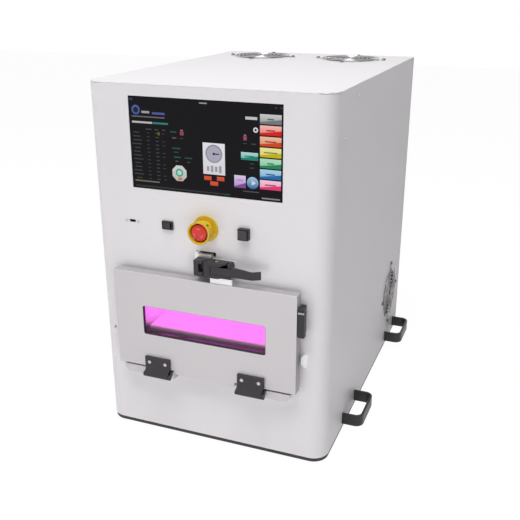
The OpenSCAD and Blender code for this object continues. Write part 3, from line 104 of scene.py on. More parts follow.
bpy.ops.mesh.primitive_plane_add(size=14, location=(0, 0, 0))
floor = bpy.context.object
floor.name = "studio_floor"
floor_paint = bpy.data.materials.new("studio_floor")
floor_paint.use_nodes = True
tree = floor_paint.node_tree
tree.nodes.clear()
matte = add_node(tree, "ShaderNodeBsdfDiffuse", {"Color": (0.84, 0.83, 0.84, 1)})
white = add_node(tree, "ShaderNodeEmission", {"Color": (1, 1, 1, 1), "Strength": 1.05})
white_share = maths(tree, "MULTIPLY", straight_rays(tree), 0.92)
blend = add_node(tree, "ShaderNodeMixShader",
                 {"Fac": white_share, 1: matte.outputs[0], 2: white.outputs[0]})
add_node(tree, "ShaderNodeOutputMaterial", {"Surface": blend.outputs[0]})
floor.data.materials.append(floor_paint)

world = bpy.data.worlds.new("studio_surround")
bpy.context.scene.world = world
world.use_nodes = True
tree = world.node_tree
tree.nodes.clear()
soft_sky = add_node(tree, "ShaderNodeBackground", {"Color": (1, 1, 1.01, 1), "Strength": 0.17})
white_sky = add_node(tree, "ShaderNodeBackground", {"Color": (1, 1, 1, 1), "Strength": 1.0})
blend = add_node(tree, "ShaderNodeMixShader",
                 {"Fac": straight_rays(tree), 1: soft_sky.outputs[0], 2: white_sky.outputs[0]})
add_node(tree, "ShaderNodeOutputWorld", {"Surface": blend.outputs[0]})


# Lamps: a broad soft box high in front, and weaker ones at the right, at the left and
# low in front. The low one stays out of sight and out of reflections.
def soft_box(name, place, aim, size, watts):
    bpy.ops.object.light_add(type="AREA", location=place)
    lamp = bpy.context.object
    lamp.name = name
    lamp.data.shape = "SQUARE"
    lamp.data.size = size
    lamp.data.energy = watts
    lamp.rotation_euler = (Vector(aim) - Vector(place)).to_track_quat("-Z", "Y").to_euler()
    return lamp


cabinet_middle = Vector((0, 0, (shell_low.z + shell_high.z) / 2))
soft_box("soft_box_above", (0.05, -1.05, 3.0), cabinet_middle, size=1.8, watts=67)
soft_box("soft_box_right", (1.9, -2.4, 0.5), cabinet_middle, size=0.9, watts=9)
soft_box("soft_box_left", (-3.0, -1.0, 1.0), cabinet_middle, size=1.6, watts=17)
low_box = soft_box("soft_box_low", (0.0, -0.95, 0.02), (0, -0.1, 0.8), size=0.8, watts=2.6)
low_box.visible_camera = False
low_box.visible_glossy = False


# Coat texture: fine bumps of a sprayed coat, and a broad, faint mottle of its sheen.
# Moulded, blasted and plated surfaces use it too, each with its own sizes.
FLOAT, VECTOR, COLOUR = "NodeSocketFloat", "NodeSocketVector", "NodeSocketColor"


def value_group(name, inputs, outputs):
    """A node group, the outputs of its input node and the inputs of its output node."""
    group = bpy.data.node_groups.new(name, "ShaderNodeTree")
    for title, kind, value in inputs:
        socket = group.interface.new_socket(name=title, in_out="INPUT", socket_type=kind)
        if value is not None:
            socket.default_value = value
    for title, kind in outputs:
        group.interface.new_socket(name=title, in_out="OUTPUT", socket_type=kind)
    given = group.nodes.new("NodeGroupInput").outputs
    results = group.nodes.new("NodeGroupOutput").inputs
    return group, given, results


coat_texture, given, results = value_group(
    "coat_texture",
    [("Vector", VECTOR, None), ("Bumps per metre", FLOAT, 700.0),
     ("Mottle per metre", FLOAT, 9.0)],
    [("Height", FLOAT), ("Mottle", FLOAT)])
peel = add_node(coat_texture, "ShaderNodeTexNoise", {
    "Vector": given["Vector"], "Scale": given["Bumps per metre"],
    "Detail": 2.0, "Roughness": 0.55})
sheen = add_node(coat_texture, "ShaderNodeTexNoise", {
    "Vector": given["Vector"], "Scale": given["Mottle per metre"],
    "Detail": 4.0, "Roughness": 0.6})
feed(coat_texture, results["Height"], peel.outputs["Fac"])
feed(coat_texture, results["Mottle"], sheen.outputs["Fac"])


def colour_mix(tree, factor, first, second):
    """A colour that runs from the first to the second as the factor goes from 0 to 1."""
    node = tree.nodes.new("ShaderNodeMix")
    node.data_type = "RGBA"
    for name, given in (("Factor", factor), ("A", first), ("B", second)):
        feed(tree, node.inputs[name], given)
    return node.outputs["Result"]


def surface(name, colour, rough, metal=0.0, spread=0.05, tint=0.04, bump=0.1,
            per_metre=700.0, mottle=9.0, texture=coat_texture, coat=0.0):
    """A Principled material whose colour, gloss and bumps come from a texture group."""
    mat = bpy.data.materials.new(name)
    mat.use_nodes = True
    tree = mat.node_tree
    skin = tree.nodes["Principled BSDF"].inputs
    skin["Metallic"].default_value = metal
    skin["Coat Weight"].default_value = coat
    skin["Coat Roughness"].default_value = 0.08
    place = tree.nodes.new("ShaderNodeTexCoord").outputs["Object"]
    grain = add_node(tree, "ShaderNodeGroup", {
        "Vector": place, "Bumps per metre": per_metre, "Mottle per metre": mottle},
        texture).outputs
    darker = (*[c * (1 - tint) for c in colour], 1)
    lighter = (*[min(1, c * (1 + tint)) for c in colour], 1)
    feed(tree, skin["Base Color"], colour_mix(tree, grain["Mottle"], darker, lighter))
    gloss = add_node(tree, "ShaderNodeMapRange", {
        "Value": grain["Mottle"], "From Min": 0.3, "From Max": 0.7,
        "To Min": rough - spread, "To Max": rough + spread})
    feed(tree, skin["Roughness"], gloss.outputs["Result"])
    relief = add_node(tree, "ShaderNodeBump", {
        "Height": grain["Height"], "Strength": bump, "Distance": 0.25 * MM})
    feed(tree, skin["Normal"], relief.outputs["Normal"])
    return mat


# Wrapped shell: one sheet of 2 mm steel, bent round the two front corners, with its
# cut-outs and its bent-in flange at the foot. Light grey powder coat, with the fine
# orange-peel that such a coat has. The top cover is folded from the same sheet.
def pick_only(obj):
    bpy.ops.object.select_all(action="DESELECT")
    obj.select_set(True)
    bpy.context.view_layer.objects.active = obj


def dressed_copy(node, body, finish, edge=0.4, steps=2, whole_faces=True):
    """Stands for a CAD node: a copy of its mesh, merged, with edges broken by edge mm.

    A large sheet with many holes keeps its own faces and edges (whole_faces False).
    """
    piece = nodes[node].copy()
    piece.data = nodes[node].data.copy()
    piece.name = piece.data.name = node + "_dressed"
    piece.parent = None
    bpy.context.collection.objects.link(piece)
    piece.data.materials.clear()
    pick_only(piece)
    bpy.ops.object.mode_set(mode="EDIT")
    bpy.ops.mesh.select_all(action="SELECT")
    bpy.ops.mesh.remove_doubles(threshold=0.01 * MM)
    if whole_faces:
        bpy.ops.mesh.dissolve_limited(angle_limit=math.radians(0.6))
    bpy.ops.object.mode_set(mode="OBJECT")
    if edge:
        rounding = piece.modifiers.new("broken_edges", "BEVEL")
        rounding.width = edge * MM
        rounding.segments = steps
        rounding.limit_method = "ANGLE"
        rounding.angle_limit = math.radians(32)
        rounding.use_clamp_overlap = False
        rounding.miter_outer = "MITER_ARC"
        bpy.ops.object.modifier_apply(modifier=rounding.name)
    bpy.ops.object.shade_smooth_by_angle(angle=SMOOTH_ANGLE)
    flat_faces = piece.modifiers.new("flat_faces", "WEIGHTED_NORMAL")
    flat_faces.weight = 100
    flat_faces.keep_sharp = True
    bpy.ops.object.modifier_apply(modifier=flat_faces.name)
    piece.data.materials.append(finish)
    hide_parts(node)
    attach(piece, body)
    return piece


light_coat = surface("light_grey_coat", (0.80, 0.777, 0.80), 0.48, spread=0.04, tint=0.012)
dressed_copy("wrap_shell", "cabinet", light_coat, edge=0, whole_faces=False)
dressed_copy("top_cover", "cabinet", light_coat, edge=0, whole_faces=False)


# Rear panel: a shallow tray of the same steel in a slightly darker coat, with rows of
# pressed vents and cut-outs for the connections. Screws hold it round its rim.
rear_coat = surface("rear_grey_coat", (0.50, 0.50, 0.51), 0.45, spread=0.04, tint=0.015)
dressed_copy("rear_panel", "cabinet", rear_coat, edge=0, whole_faces=False)


# Base plate and feet: a thick plate in black texture coat, which shows as a dark line
# under the shell, on four screwed rubber feet.
black_coat = surface("black_texture_coat", (0.022, 0.021, 0.023), 0.5, tint=0.2, bump=0.35,
                     per_metre=1500)
rubber = surface("black_rubber", (0.02, 0.02, 0.02), 0.75, tint=0.25, bump=0.3, per_metre=900)
dressed_copy("base_plate", "cabinet", black_coat, edge=0.8)
dressed_copy("rubber_feet", "cabinet", rubber, edge=0.6)


# Carrying handles: flat steel strap, bent to a bow and coated black. Their tabs are
# held by nuts inside the side walls.
handle_coat = surface("black_handle_coat", (0.010, 0.008, 0.010), 0.42, tint=0.2, bump=0.2,
                      per_metre=1300)
for side in ("right_front", "right_rear", "left_front", "left_rear"):
    dressed_copy("handle_" + side, "cabinet", handle_coat, edge=0.9, steps=3)


# Brushed and machined metal: lines that run one way, a few tenths of a millimetre wide.
# The mottle is two thirds cloud and one third lines.
brushed_lines, given, results = value_group(
    "brushed_lines",
    [("Vector", VECTOR, None), ("Bumps per metre", FLOAT, 2500.0),
     ("Mottle per metre", FLOAT, 12.0)],
    [("Height", FLOAT), ("Mottle", FLOAT)])
along = add_node(brushed_lines, "ShaderNodeMapping", {
    "Vector": given["Vector"], "Scale": (0.02, 1.0, 1.0)})
scratches = add_node(brushed_lines, "ShaderNodeTexNoise", {
    "Vector": along.outputs["Vector"], "Scale": given["Bumps per metre"], "Detail": 3.0})
cloud = add_node(brushed_lines, "ShaderNodeTexNoise", {
    "Vector": given["Vector"], "Scale": given["Mottle per metre"], "Detail": 3.0})
both = maths(brushed_lines, "MULTIPLY_ADD", scratches.outputs["Fac"], 0.5, cloud.outputs["Fac"])
feed(brushed_lines, results["Height"], scratches.outputs["Fac"])
feed(brushed_lines, results["Mottle"], maths(brushed_lines, "MULTIPLY", both, 0.667))


# Screws: bright zinc-plated heads with a round socket pressed in each. The four round
# each fan guard are blackened.
bright_steel = surface("bright_screw_steel", (0.58, 0.58, 0.59), 0.34, metal=1.0, tint=0.06,
                       bump=0.05)
black_steel = surface("blackened_steel", (0.05, 0.048, 0.05), 0.4, metal=0.6, tint=0.05,
                      bump=0.05)
least_head = math.pi * (1.2 * MM) ** 2
guard_reach = 90 * MM


def socket_heads(piece, rim, depth):
    """Presses a round socket into every outward head of the screws in a piece."""
    mesh = bmesh.new()
    mesh.from_mesh(piece.data)
    for face in mesh.faces:
        outward = face.calc_center_median() - cabinet_middle
        axis = max(range(3), key=lambda i: abs(face.normal[i]))
        face.select = (
            len(face.verts) >= 12 and abs(face.normal[axis]) > 0.99
            and face.normal[axis] * outward[axis] > 0
            and face.calc_area() > least_head)
    mesh.to_mesh(piece.data)
    mesh.free()
    pick_only(piece)
    bpy.ops.object.mode_set(mode="EDIT")
    bpy.context.tool_settings.mesh_select_mode = (False, False, True)
    bpy.ops.mesh.inset(thickness=rim * MM, use_individual=True)
    bpy.ops.mesh.inset(thickness=0.08 * MM, depth=-depth * MM, use_individual=True)
    bpy.ops.object.mode_set(mode="OBJECT")


def repaint(node, finish):
    """Gives a CAD node that stays as it is a better finish."""
    nodes[node].data.materials.clear()
    nodes[node].data.materials.append(finish)


case_screws = dressed_copy("case_screws", "cabinet", bright_steel, edge=0)
socket_heads(case_screws, rim=0.75, depth=0.5)
case_screws.data.materials.append(black_steel)
for side in ("left", "right", "side"):
    low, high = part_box("fan_rotor_" + side)
    hub = (low + high) / 2
    for face in case_screws.data.polygons:
        away = face.center - hub
        outside = away.x if side == "side" else away.z
        if away.length < guard_reach and outside > 0:
            face.material_index = 1
door_screws = dressed_copy("door_screws", "door", bright_steel, edge=0)
socket_heads(door_screws, rim=0.9, depth=0.4)
repaint("handle_nuts", bright_steel)
repaint("latch_pin", bright_steel)


# Door: a 20 mm plate of aluminium, bead-blasted and clear anodised, with a tongue
# between its hinges, a rebated window and a screwed retainer behind the pane. Its
# edges, the faces that look neither to the front nor to the back, take a darker copy
# of the finish: painted shade.
blasted_alu = surface("blasted_aluminium", (0.60, 0.575, 0.59), 0.5, metal=0.35, tint=0.015,
                      spread=0.03, bump=0.08, per_metre=1800)
door_edge_shade_alu = surface("aluminium_painted_edge_shade", (0.44, 0.43, 0.45), 0.45, metal=0.35, tint=0.03,
                   spread=0.04, bump=0.08, per_metre=1800)
machined_alu = surface("machined_aluminium", (0.68, 0.68, 0.70), 0.34, metal=0.9, tint=0.05,
                       bump=0.06, texture=brushed_lines, per_metre=1800)
least_facing = 0.3
door = dressed_copy("door_plate", "door", blasted_alu, edge=0.6)
# Painted shade: the door's edge faces get the darker copy of its aluminium.
door.data.materials.append(door_edge_shade_alu)
for face in door.data.polygons:
    if abs(face.normal.y) < least_facing:
        face.material_index = 1
dressed_copy("hinge_blocks", "cabinet", blasted_alu, edge=0.4)
dressed_copy("window_retainer", "door", machined_alu, edge=0.3)


# Hinges, latch and keeper: aluminium, anodised charcoal; the bracket under the latch
# and the keeper's strap are left bright.
charcoal = surface("charcoal_anodised", (0.026, 0.021, 0.026), 0.44, metal=0.15, tint=0.10,
                   per_metre=1600)
bright_alu = surface("bright_aluminium", (0.86, 0.86, 0.86), 0.34, metal=0.7, bump=0.05,
                     texture=brushed_lines)
for name, body in (("hinge_door_leaves", "door"), ("hinge_fixed_leaves", "cabinet"),
                   ("latch_keeper", "cabinet"), ("latch_body", "door"),
                   ("latch_lever", "latch_lever")):
    dressed_copy(name, body, charcoal, edge=0.5)
repaint("hinge_pins", charcoal)
for name, body in (("keeper_bracket", "cabinet"), ("latch_bracket", "door"),
                   ("guide_tab", "cabinet")):
    dressed_copy(name, body, bright_alu, edge=0.3)


# Door sensor: a small moulded switch on the panel beside the door.
# It is in the same black plastic as the switches above the door.
black_plastic = surface("moulded_black", (0.014, 0.012, 0.014), 0.42, tint=0.12, bump=0.15,
                        per_metre=1600)
dressed_copy("door_sensor", "cabinet", black_plastic, edge=0.3)


# Chamber: machined aluminium with the glow of the discharge painted on as emission,
# so its walls and electrodes glow though they are no lamp. The painted glow is flat
# over the walls and the electrodes and dies away towards the front edge, in streaks,
# and sooner on what lies below the top of the lower electrode; there the base colour
# also darkens, as painted shade.
cavity_low, cavity_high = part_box("chamber_body")
plate_low, plate_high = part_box("lower_electrode")
streak_depth = 14 * MM
sinking = 3                              # how many times each step down counts as depth
glow_starts, glow_full = plate_low.y - 14 * MM, plate_low.y + 19 * MM
glow_box = {
    "X": (cavity_low.x + 25.5 * MM, cavity_high.x - 25.5 * MM),
    "Y": (plate_low.y - 12 * MM, cavity_high.y - 5 * MM),
    "Z": (cavity_low.z + 18 * MM, cavity_high.z - 18 * MM)}
painted_plasma_glow, given, results = value_group(
    "painted_plasma_glow", [("Vector", VECTOR, None)], [("Glow", COLOUR), ("Depth", FLOAT)])
place = add_node(painted_plasma_glow, "ShaderNodeSeparateXYZ", {0: given["Vector"]}).outputs
stretch = add_node(painted_plasma_glow, "ShaderNodeMapping", {
    "Vector": given["Vector"], "Scale": (4, 90, 40)})
streak = add_node(painted_plasma_glow, "ShaderNodeTexNoise", {
    "Vector": stretch.outputs["Vector"], "Scale": 1.0, "Detail": 3.0})
wander = maths(painted_plasma_glow, "MULTIPLY_ADD", streak.outputs["Fac"], streak_depth, place["Y"])
above = maths(painted_plasma_glow, "SUBTRACT", place["Z"], plate_high.z)
below = maths(painted_plasma_glow, "MINIMUM", above, 0)
settled = maths(painted_plasma_glow, "MULTIPLY_ADD", below, sinking, wander)
depth = add_node(painted_plasma_glow, "ShaderNodeMapRange", {
    "Value": settled, "From Min": glow_starts, "From Max": glow_full}).outputs["Result"]
hues = add_node(painted_plasma_glow, "ShaderNodeValToRGB", {"Fac": depth})
hues.color_ramp.elements[0].color = (0.040, 0.022, 0.034, 1)
hues.color_ramp.elements[1].color = (1.0, 0.165, 0.93, 1)
for at, hue in ((0.30, (0.16, 0.075, 0.13, 1)), (0.62, (0.62, 0.13, 0.42, 1)),
                (0.85, (1.0, 0.21, 0.72, 1))):
    hues.color_ramp.elements.new(at).color = hue
inside = 1
for axis, (low, high) in glow_box.items():
    past_low = maths(painted_plasma_glow, "GREATER_THAN", place[axis], low)
    before_high = maths(painted_plasma_glow, "LESS_THAN", place[axis], high)
    between = maths(painted_plasma_glow, "MULTIPLY", past_low, before_high)
    inside = maths(painted_plasma_glow, "MULTIPLY", inside, between)
masked = colour_mix(painted_plasma_glow, inside, (0, 0, 0, 1), hues.outputs["Color"])
feed(painted_plasma_glow, results["Glow"], masked)
feed(painted_plasma_glow, results["Depth"], depth)

chamber_alu = surface("chamber_aluminium_painted_glow", (0.62, 0.62, 0.64), 0.38, metal=0.6,
                      tint=0.05, bump=0.05, texture=brushed_lines)
tree = chamber_alu.node_tree
skin = tree.nodes["Principled BSDF"].inputs
own_place = next(n for n in tree.nodes if n.type == "TEX_COORD").outputs["Object"]
# Painted light: the glow group feeds the emission, so the chamber's metal glows pink.
glow = add_node(tree, "ShaderNodeGroup", {"Vector": own_place}, painted_plasma_glow).outputs
feed(tree, skin["Emission Color"], glow["Glow"])
skin["Emission Strength"].default_value = 0.53
# Painted shade: the base colour runs to a dark purple where the painted glow dies away.
bare_metal = skin["Base Color"].links[0].from_socket
painted_front_shade = (0.17, 0.135, 0.155, 1)
feed(tree, skin["Base Color"], colour_mix(tree, glow["Depth"], painted_front_shade, bare_metal))
for name in ("chamber_body", "upper_electrode", "lower_electrode"):
    dressed_copy(name, "cabinet", chamber_alu, edge=0.5)
ceramic = surface("alumina", (0.84, 0.82, 0.76), 0.4, tint=0.05, bump=0.05)
repaint("electrode_insulators", ceramic)
dressed_copy("chamber_seal", "cabinet", rubber, edge=1.2, steps=3)


# Window: a pane of 6 mm borosilicate in the door's rebate, and a thin black gasket
# that lines the cut-out in front of it.
window_glass = surface("window_glass", (1.0, 0.95, 1.0), 0.03, spread=0.02, tint=0.0,
                       bump=0.0, mottle=40)
glass_skin = window_glass.node_tree.nodes["Principled BSDF"].inputs
glass_skin["Transmission Weight"].default_value = 1.0
glass_skin["IOR"].default_value = 1.35
dressed_copy("window_pane", "door", window_glass, edge=0.4)


def upright_plane(x, y, z, wide, high):
    """A flat face that looks to the front, with its middle at x, y, z."""
    bpy.ops.mesh.primitive_plane_add(size=1, location=(x, y, z), rotation=UPRIGHT)
    face = bpy.context.object
    face.scale = (wide, high, 1)
    bpy.ops.object.transform_apply(location=True, rotation=True, scale=True)
    return face


pane_low, pane_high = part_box("window_pane")
door_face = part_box("door_plate")[0].y
pane_lap = 10 * MM
gasket_front, gasket_depth = door_face + 0.4 * MM, 7.2 * MM
gasket_corner, gasket_wall = 4 * MM, 0.35 * MM
gasket = upright_plane(
    0, gasket_front, (pane_low.z + pane_high.z) / 2,
    pane_high.x - pane_low.x - 2 * pane_lap, pane_high.z - pane_low.z - 2 * pane_lap)
gasket.name = "window_gasket"
bpy.ops.object.mode_set(mode="EDIT")
bpy.ops.mesh.select_all(action="SELECT")
bpy.ops.mesh.bevel(offset=gasket_corner, segments=6, affect="VERTICES")
bpy.ops.mesh.select_all(action="SELECT")
bpy.ops.mesh.inset(thickness=gasket_wall)
bpy.ops.mesh.delete(type="FACE")
bpy.ops.mesh.select_all(action="SELECT")
bpy.ops.mesh.extrude_region_move(TRANSFORM_OT_translate={"value": (0, gasket_depth, 0)})
bpy.ops.mesh.select_all(action="SELECT")
bpy.ops.mesh.normals_make_consistent(inside=False)
bpy.ops.object.mode_set(mode="OBJECT")
bpy.ops.object.shade_smooth_by_angle(angle=SMOOTH_ANGLE)
gasket.data.materials.append(rubber)
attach(gasket, "door")


# Emergency stop: a yellow moulded shroud on a round base, and a red mushroom head
# with three raised arcs that show which way it is turned to let it out.
yellow = surface("moulded_yellow", (0.66, 0.44, 0.012), 0.42, tint=0.05, per_metre=1500)
grey_plastic = surface("moulded_grey", (0.22, 0.22, 0.23), 0.5, tint=0.1, bump=0.12,
                       per_metre=1500)
red = surface("moulded_red", (0.70, 0.020, 0.012), 0.34, tint=0.06, spread=0.04, bump=0.06,
              coat=0.15)
pale_print = surface("pale_print", (0.78, 0.22, 0.18), 0.5, tint=0.03, bump=0.02)
dressed_copy("estop_shroud", "cabinet", yellow, edge=0.5)
dressed_copy("estop_stem", "estop_stem", grey_plastic, edge=0.3)
dressed_copy("estop_head", "estop_head", red, edge=0.8, steps=3)

head_low, head_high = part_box("estop_head")
arrow_front = head_low.y + 0.25 * MM
arrow_middle = ((head_low.x + head_high.x) / 2, arrow_front, (head_low.z + head_high.z) / 2)
arrow_r, arrow_w, arrow_h, arrow_sweep = 8.2 * MM, 1.5 * MM, 0.35 * MM, math.radians(62)
arrows = []
bpy.context.scene.cursor.location = arrow_middle
for turn in (0, 120, 240):
    arrow = upright_plane(
        arrow_middle[0] + arrow_r, arrow_front, arrow_middle[2], arrow_w, arrow_w)
    bpy.ops.object.mode_set(mode="EDIT")
    bpy.ops.mesh.select_all(action="DESELECT")
    bm = bmesh.from_edit_mesh(arrow.data)
    top = max(v.co.z for v in bm.verts)
    for edge in bm.edges:
        edge.select = all(abs(v.co.z - top) < 1e-6 for v in edge.verts)
    bmesh.update_edit_mesh(arrow.data)
    bpy.ops.mesh.spin(steps=10, angle=arrow_sweep, center=arrow_middle, axis=(0, -1, 0))
    bpy.ops.mesh.select_all(action="SELECT")
    bpy.ops.mesh.extrude_region_move(TRANSFORM_OT_translate={"value": (0, -arrow_h, 0)})
    bpy.ops.object.mode_set(mode="OBJECT")
    bpy.ops.object.origin_set(type="ORIGIN_CURSOR")
    arrow.rotation_euler = (0, math.radians(turn), 0)
    bpy.ops.object.transform_apply(location=True, rotation=True, scale=True)
    arrows.append(arrow)
bpy.context.scene.cursor.location = (0, 0, 0)
pick_only(arrows[0])
for arrow in arrows:
    arrow.select_set(True)
bpy.ops.object.join()
turn_arrows = bpy.context.object
turn_arrows.name = "turn_arrows"
bpy.ops.object.mode_set(mode="EDIT")
bpy.ops.mesh.select_all(action="SELECT")
bpy.ops.mesh.normals_make_consistent(inside=False)
bpy.ops.object.mode_set(mode="OBJECT")
turn_arrows.data.materials.append(pale_print)
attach(turn_arrows, "estop_head")


# Power rocker, start button and USB socket: black moulded panel parts. The button has
# a dark grey cap, and a pale strip at the left of its bezel, a painted highlight.
for name, body in (("power_switch_body", "cabinet"), ("power_rocker", "power_rocker"),
                   ("start_bezel", "cabinet")):
    dressed_copy(name, body, black_plastic, edge=0.4)
cap_plastic = surface("moulded_dark_grey", (0.032, 0.029, 0.033), 0.38, tint=0.08, bump=0.08,
                      per_metre=1600)
dressed_copy("start_cap", "start_cap", cap_plastic, edge=0.7, steps=3)

# A pale strip along the bezel's left edge: a painted highlight.
bezel_low, bezel_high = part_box("start_bezel")
bar_proud = 0.25 * MM
bar = upright_plane(
    bezel_low.x + 1.5 * MM, bezel_low.y - 0.02 * MM, bezel_high.z - 10.2 * MM,
    wide=2.0 * MM, high=13.5 * MM)
bar.name = "start_bezel_painted_highlight"
bpy.ops.object.mode_set(mode="EDIT")
bpy.ops.mesh.select_all(action="SELECT")
bpy.ops.mesh.extrude_region_move(TRANSFORM_OT_translate={"value": (0, -bar_proud, 0)})
bpy.ops.mesh.select_all(action="SELECT")
bpy.ops.mesh.normals_make_consistent(inside=False)
bpy.ops.mesh.bevel(offset=0.1 * MM, segments=2)
bpy.ops.object.mode_set(mode="OBJECT")
bar.data.materials.append(surface("bezel_highlight_paint", (0.24, 0.23, 0.24), 0.3, tint=0.03, bump=0.0))
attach(bar, "cabinet")
dressed_copy("usb_socket", "cabinet", black_plastic, edge=0.15)


# Display: black cover glass, flush in the panel, over a lit picture. The picture is a
# plain set of coloured keys, bars and dials; each tile carries its own two colours.
# Places and sizes are in millimetres from the middle of the screen.
screen_glass = surface("screen_glass", (0.004, 0.003, 0.005), 0.10, spread=0.03, tint=0.1,
                       bump=0.0, mottle=14)
screen_glass.node_tree.nodes["Principled BSDF"].inputs["Specular IOR Level"].default_value = 0.12
dressed_copy("display_glass", "cabinet", screen_glass, edge=0.25)
glass_low, glass_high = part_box("display_glass")
screen_x = (glass_low.x + glass_high.x) / 2
screen_z = (glass_low.z + glass_high.z) / 2
layer = 0.03 * MM
tiles = []


def coloured(obj, top, low):
    """Stores a colour that runs from top to bottom over a tile."""
    store = obj.data.color_attributes.new("picture_colour", "FLOAT_COLOR", "CORNER")
    heights = [obj.data.vertices[l.vertex_index].co.z for l in obj.data.loops]
    z0, z1 = min(heights), max(heights)
    for i, z in enumerate(heights):
        f = (z - z0) / (z1 - z0)
        store.data[i].color = (*[a * f + b * (1 - f) for a, b in zip(top, low)], 1)
    tiles.append(obj)


def tile(x, z, w, h, top, low=None, lift=1):
    """A rectangle of the picture; lift is its layer, counted from the glass."""
    obj = upright_plane(
        screen_x + x * MM, glass_low.y - layer * lift, screen_z + z * MM, w * MM, h * MM)
    coloured(obj, top, low or top)
    return obj


def disc(x, z, r, top, low=None, lift=1, sides=32, turn=0.0):
    """A round tile, or one with few sides, turned by that many degrees."""
    bpy.ops.mesh.primitive_circle_add(
        vertices=sides, radius=r * MM, fill_type="NGON",
        rotation=(math.pi / 2, math.radians(turn), 0),
        location=(screen_x + x * MM, glass_low.y - layer * lift, screen_z + z * MM))
    bpy.ops.object.transform_apply(location=True, rotation=True, scale=True)
    coloured(bpy.context.object, top, low or top)


def wedge(x, z, w, left_h, right_h, hue, lift=2):
    """A tile whose upper edge rises from left to right; z is its lower edge."""
    mesh = tile(x, z + left_h / 2, w, left_h, hue, lift=lift).data
    right, top = max(v.co.x for v in mesh.vertices), max(v.co.z for v in mesh.vertices)
    for v in mesh.vertices:
        if v.co.x > right - MM and v.co.z > top - MM:
            v.co.z += (right_h - left_h) * MM


def key(x, z, w, h, hues, slope, label):
    """A key: a shaded tile, a darker slope along its foot and a bar as its label."""
    top, low, deep, ink = hues
    label_w, label_h, label_up = label
    tile(x, z, w, h, top, low)
    wedge(x, z - h / 2, w, slope[0], slope[1], deep)
    tile(x, z + label_up, label_w, label_h, ink, lift=3)


# Keys: a column of seven down the right edge, a teal one beside it, and a violet one
# with a round blue one at the foot.
key_hues = [
    ((0.62, 0.62, 0.62), (0.30, 0.31, 0.31), (0.16, 0.19, 0.19)),
    ((0.95, 0.50, 0.46), (0.85, 0.16, 0.13), (0.68, 0.005, 0.004)),
    ((0.88, 0.52, 0.38), (0.80, 0.24, 0.08), (0.66, 0.055, 0.002)),
    ((0.84, 0.80, 0.38), (0.76, 0.70, 0.12), (0.55, 0.46, 0.002)),
    ((0.46, 0.76, 0.56), (0.20, 0.56, 0.34), (0.010, 0.24, 0.085)),
    ((0.44, 0.66, 0.84), (0.16, 0.42, 0.68), (0.008, 0.14, 0.40)),
    ((0.90, 0.62, 0.76), (0.86, 0.30, 0.50), (0.78, 0.035, 0.16))]
top_key_z, key_step = 54.8, 17.8
for k, (top, low, deep) in enumerate(key_hues):
    ink = [c * 0.45 for c in deep]
    key(118.2, top_key_z - k * key_step, 36.5, 15.6, (top, low, deep, ink),
        slope=(3.2, 8.0), label=(11 + (k * 5 % 4) * 4, 2.0, 0))
teal = ((0.42, 0.72, 0.66), (0.12, 0.46, 0.38), (0.005, 0.22, 0.16), (0.03, 0.16, 0.13))
key(81.7, -7, 30, 12.8, teal, slope=(2.8, 7.4), label=(17, 1.8, 0))
violet = ((0.72, 0.58, 0.84), (0.44, 0.26, 0.58), (0.22, 0.06, 0.32), (0.40, 0.26, 0.52))
key(64.5, -50.5, 20.5, 21, violet, slope=(2, 9), label=(11, 2.2, 2.5))
white_ink, black = (0.72, 0.72, 0.73), (0.006, 0.006, 0.008)
disc(87, -51, 10.2, (0.34, 0.58, 0.82), (0.005, 0.11, 0.34))
disc(88, -51, 4.8, white_ink, lift=2, sides=3, turn=-30)

# Table at the left: thirteen faint rows in four columns, under three column heads.
grey = (0.045, 0.045, 0.047)
table_top, row_step = 18.5, 6.6
for row in range(13):
    z = table_top - row * row_step
    state = (0.035, 0.036, 0.036) if row % 3 else (0.012, 0.045, 0.022)
    tile(-127 + (row * 7 % 5) / 2, z, 11 + (row * 5 % 4) * 2.5, 1.6, grey)
    tile(-104, z, 4.5 + (row % 3), 1.5, state)
    tile(-87, z, 6.5, 1.6, (0.060, 0.048, 0.020) if row % 4 < 2 else grey)
    if row % 3 != 1:
        tile(-75, z, 5 + row % 2, 1.5, (0.032, 0.032, 0.034))
for x, w in ((-102.5, 11), (-87.5, 7), (-74, 6)):
    tile(x, 25, w, 1.8, (0.055, 0.055, 0.058))
tile(-83.5, table_top, 4, 5.5, (0.11, 0.11, 0.01), lift=2)

# Head of the page: a blue ring, with blank bars where a title and a heading go.
disc(-125.5, 56.5, 8.2, (0.060, 0.115, 0.40), (0.045, 0.085, 0.30))
disc(-125.5, 56.5, 4.8, black, lift=2)
tile(-107, 53.5, 15, 3.8, (0.34, 0.34, 0.38))
tile(-82.5, 52.3, 24, 3.8, (0.075, 0.085, 0.32))
tile(-102.5, 45.6, 63, 2.0, (0.14, 0.14, 0.15))
tile(-114.5, 36, 39, 3.2, (0.50, 0.50, 0.51))
tile(-79.5, 36, 29, 3.2, (0.012, 0.21, 0.18))

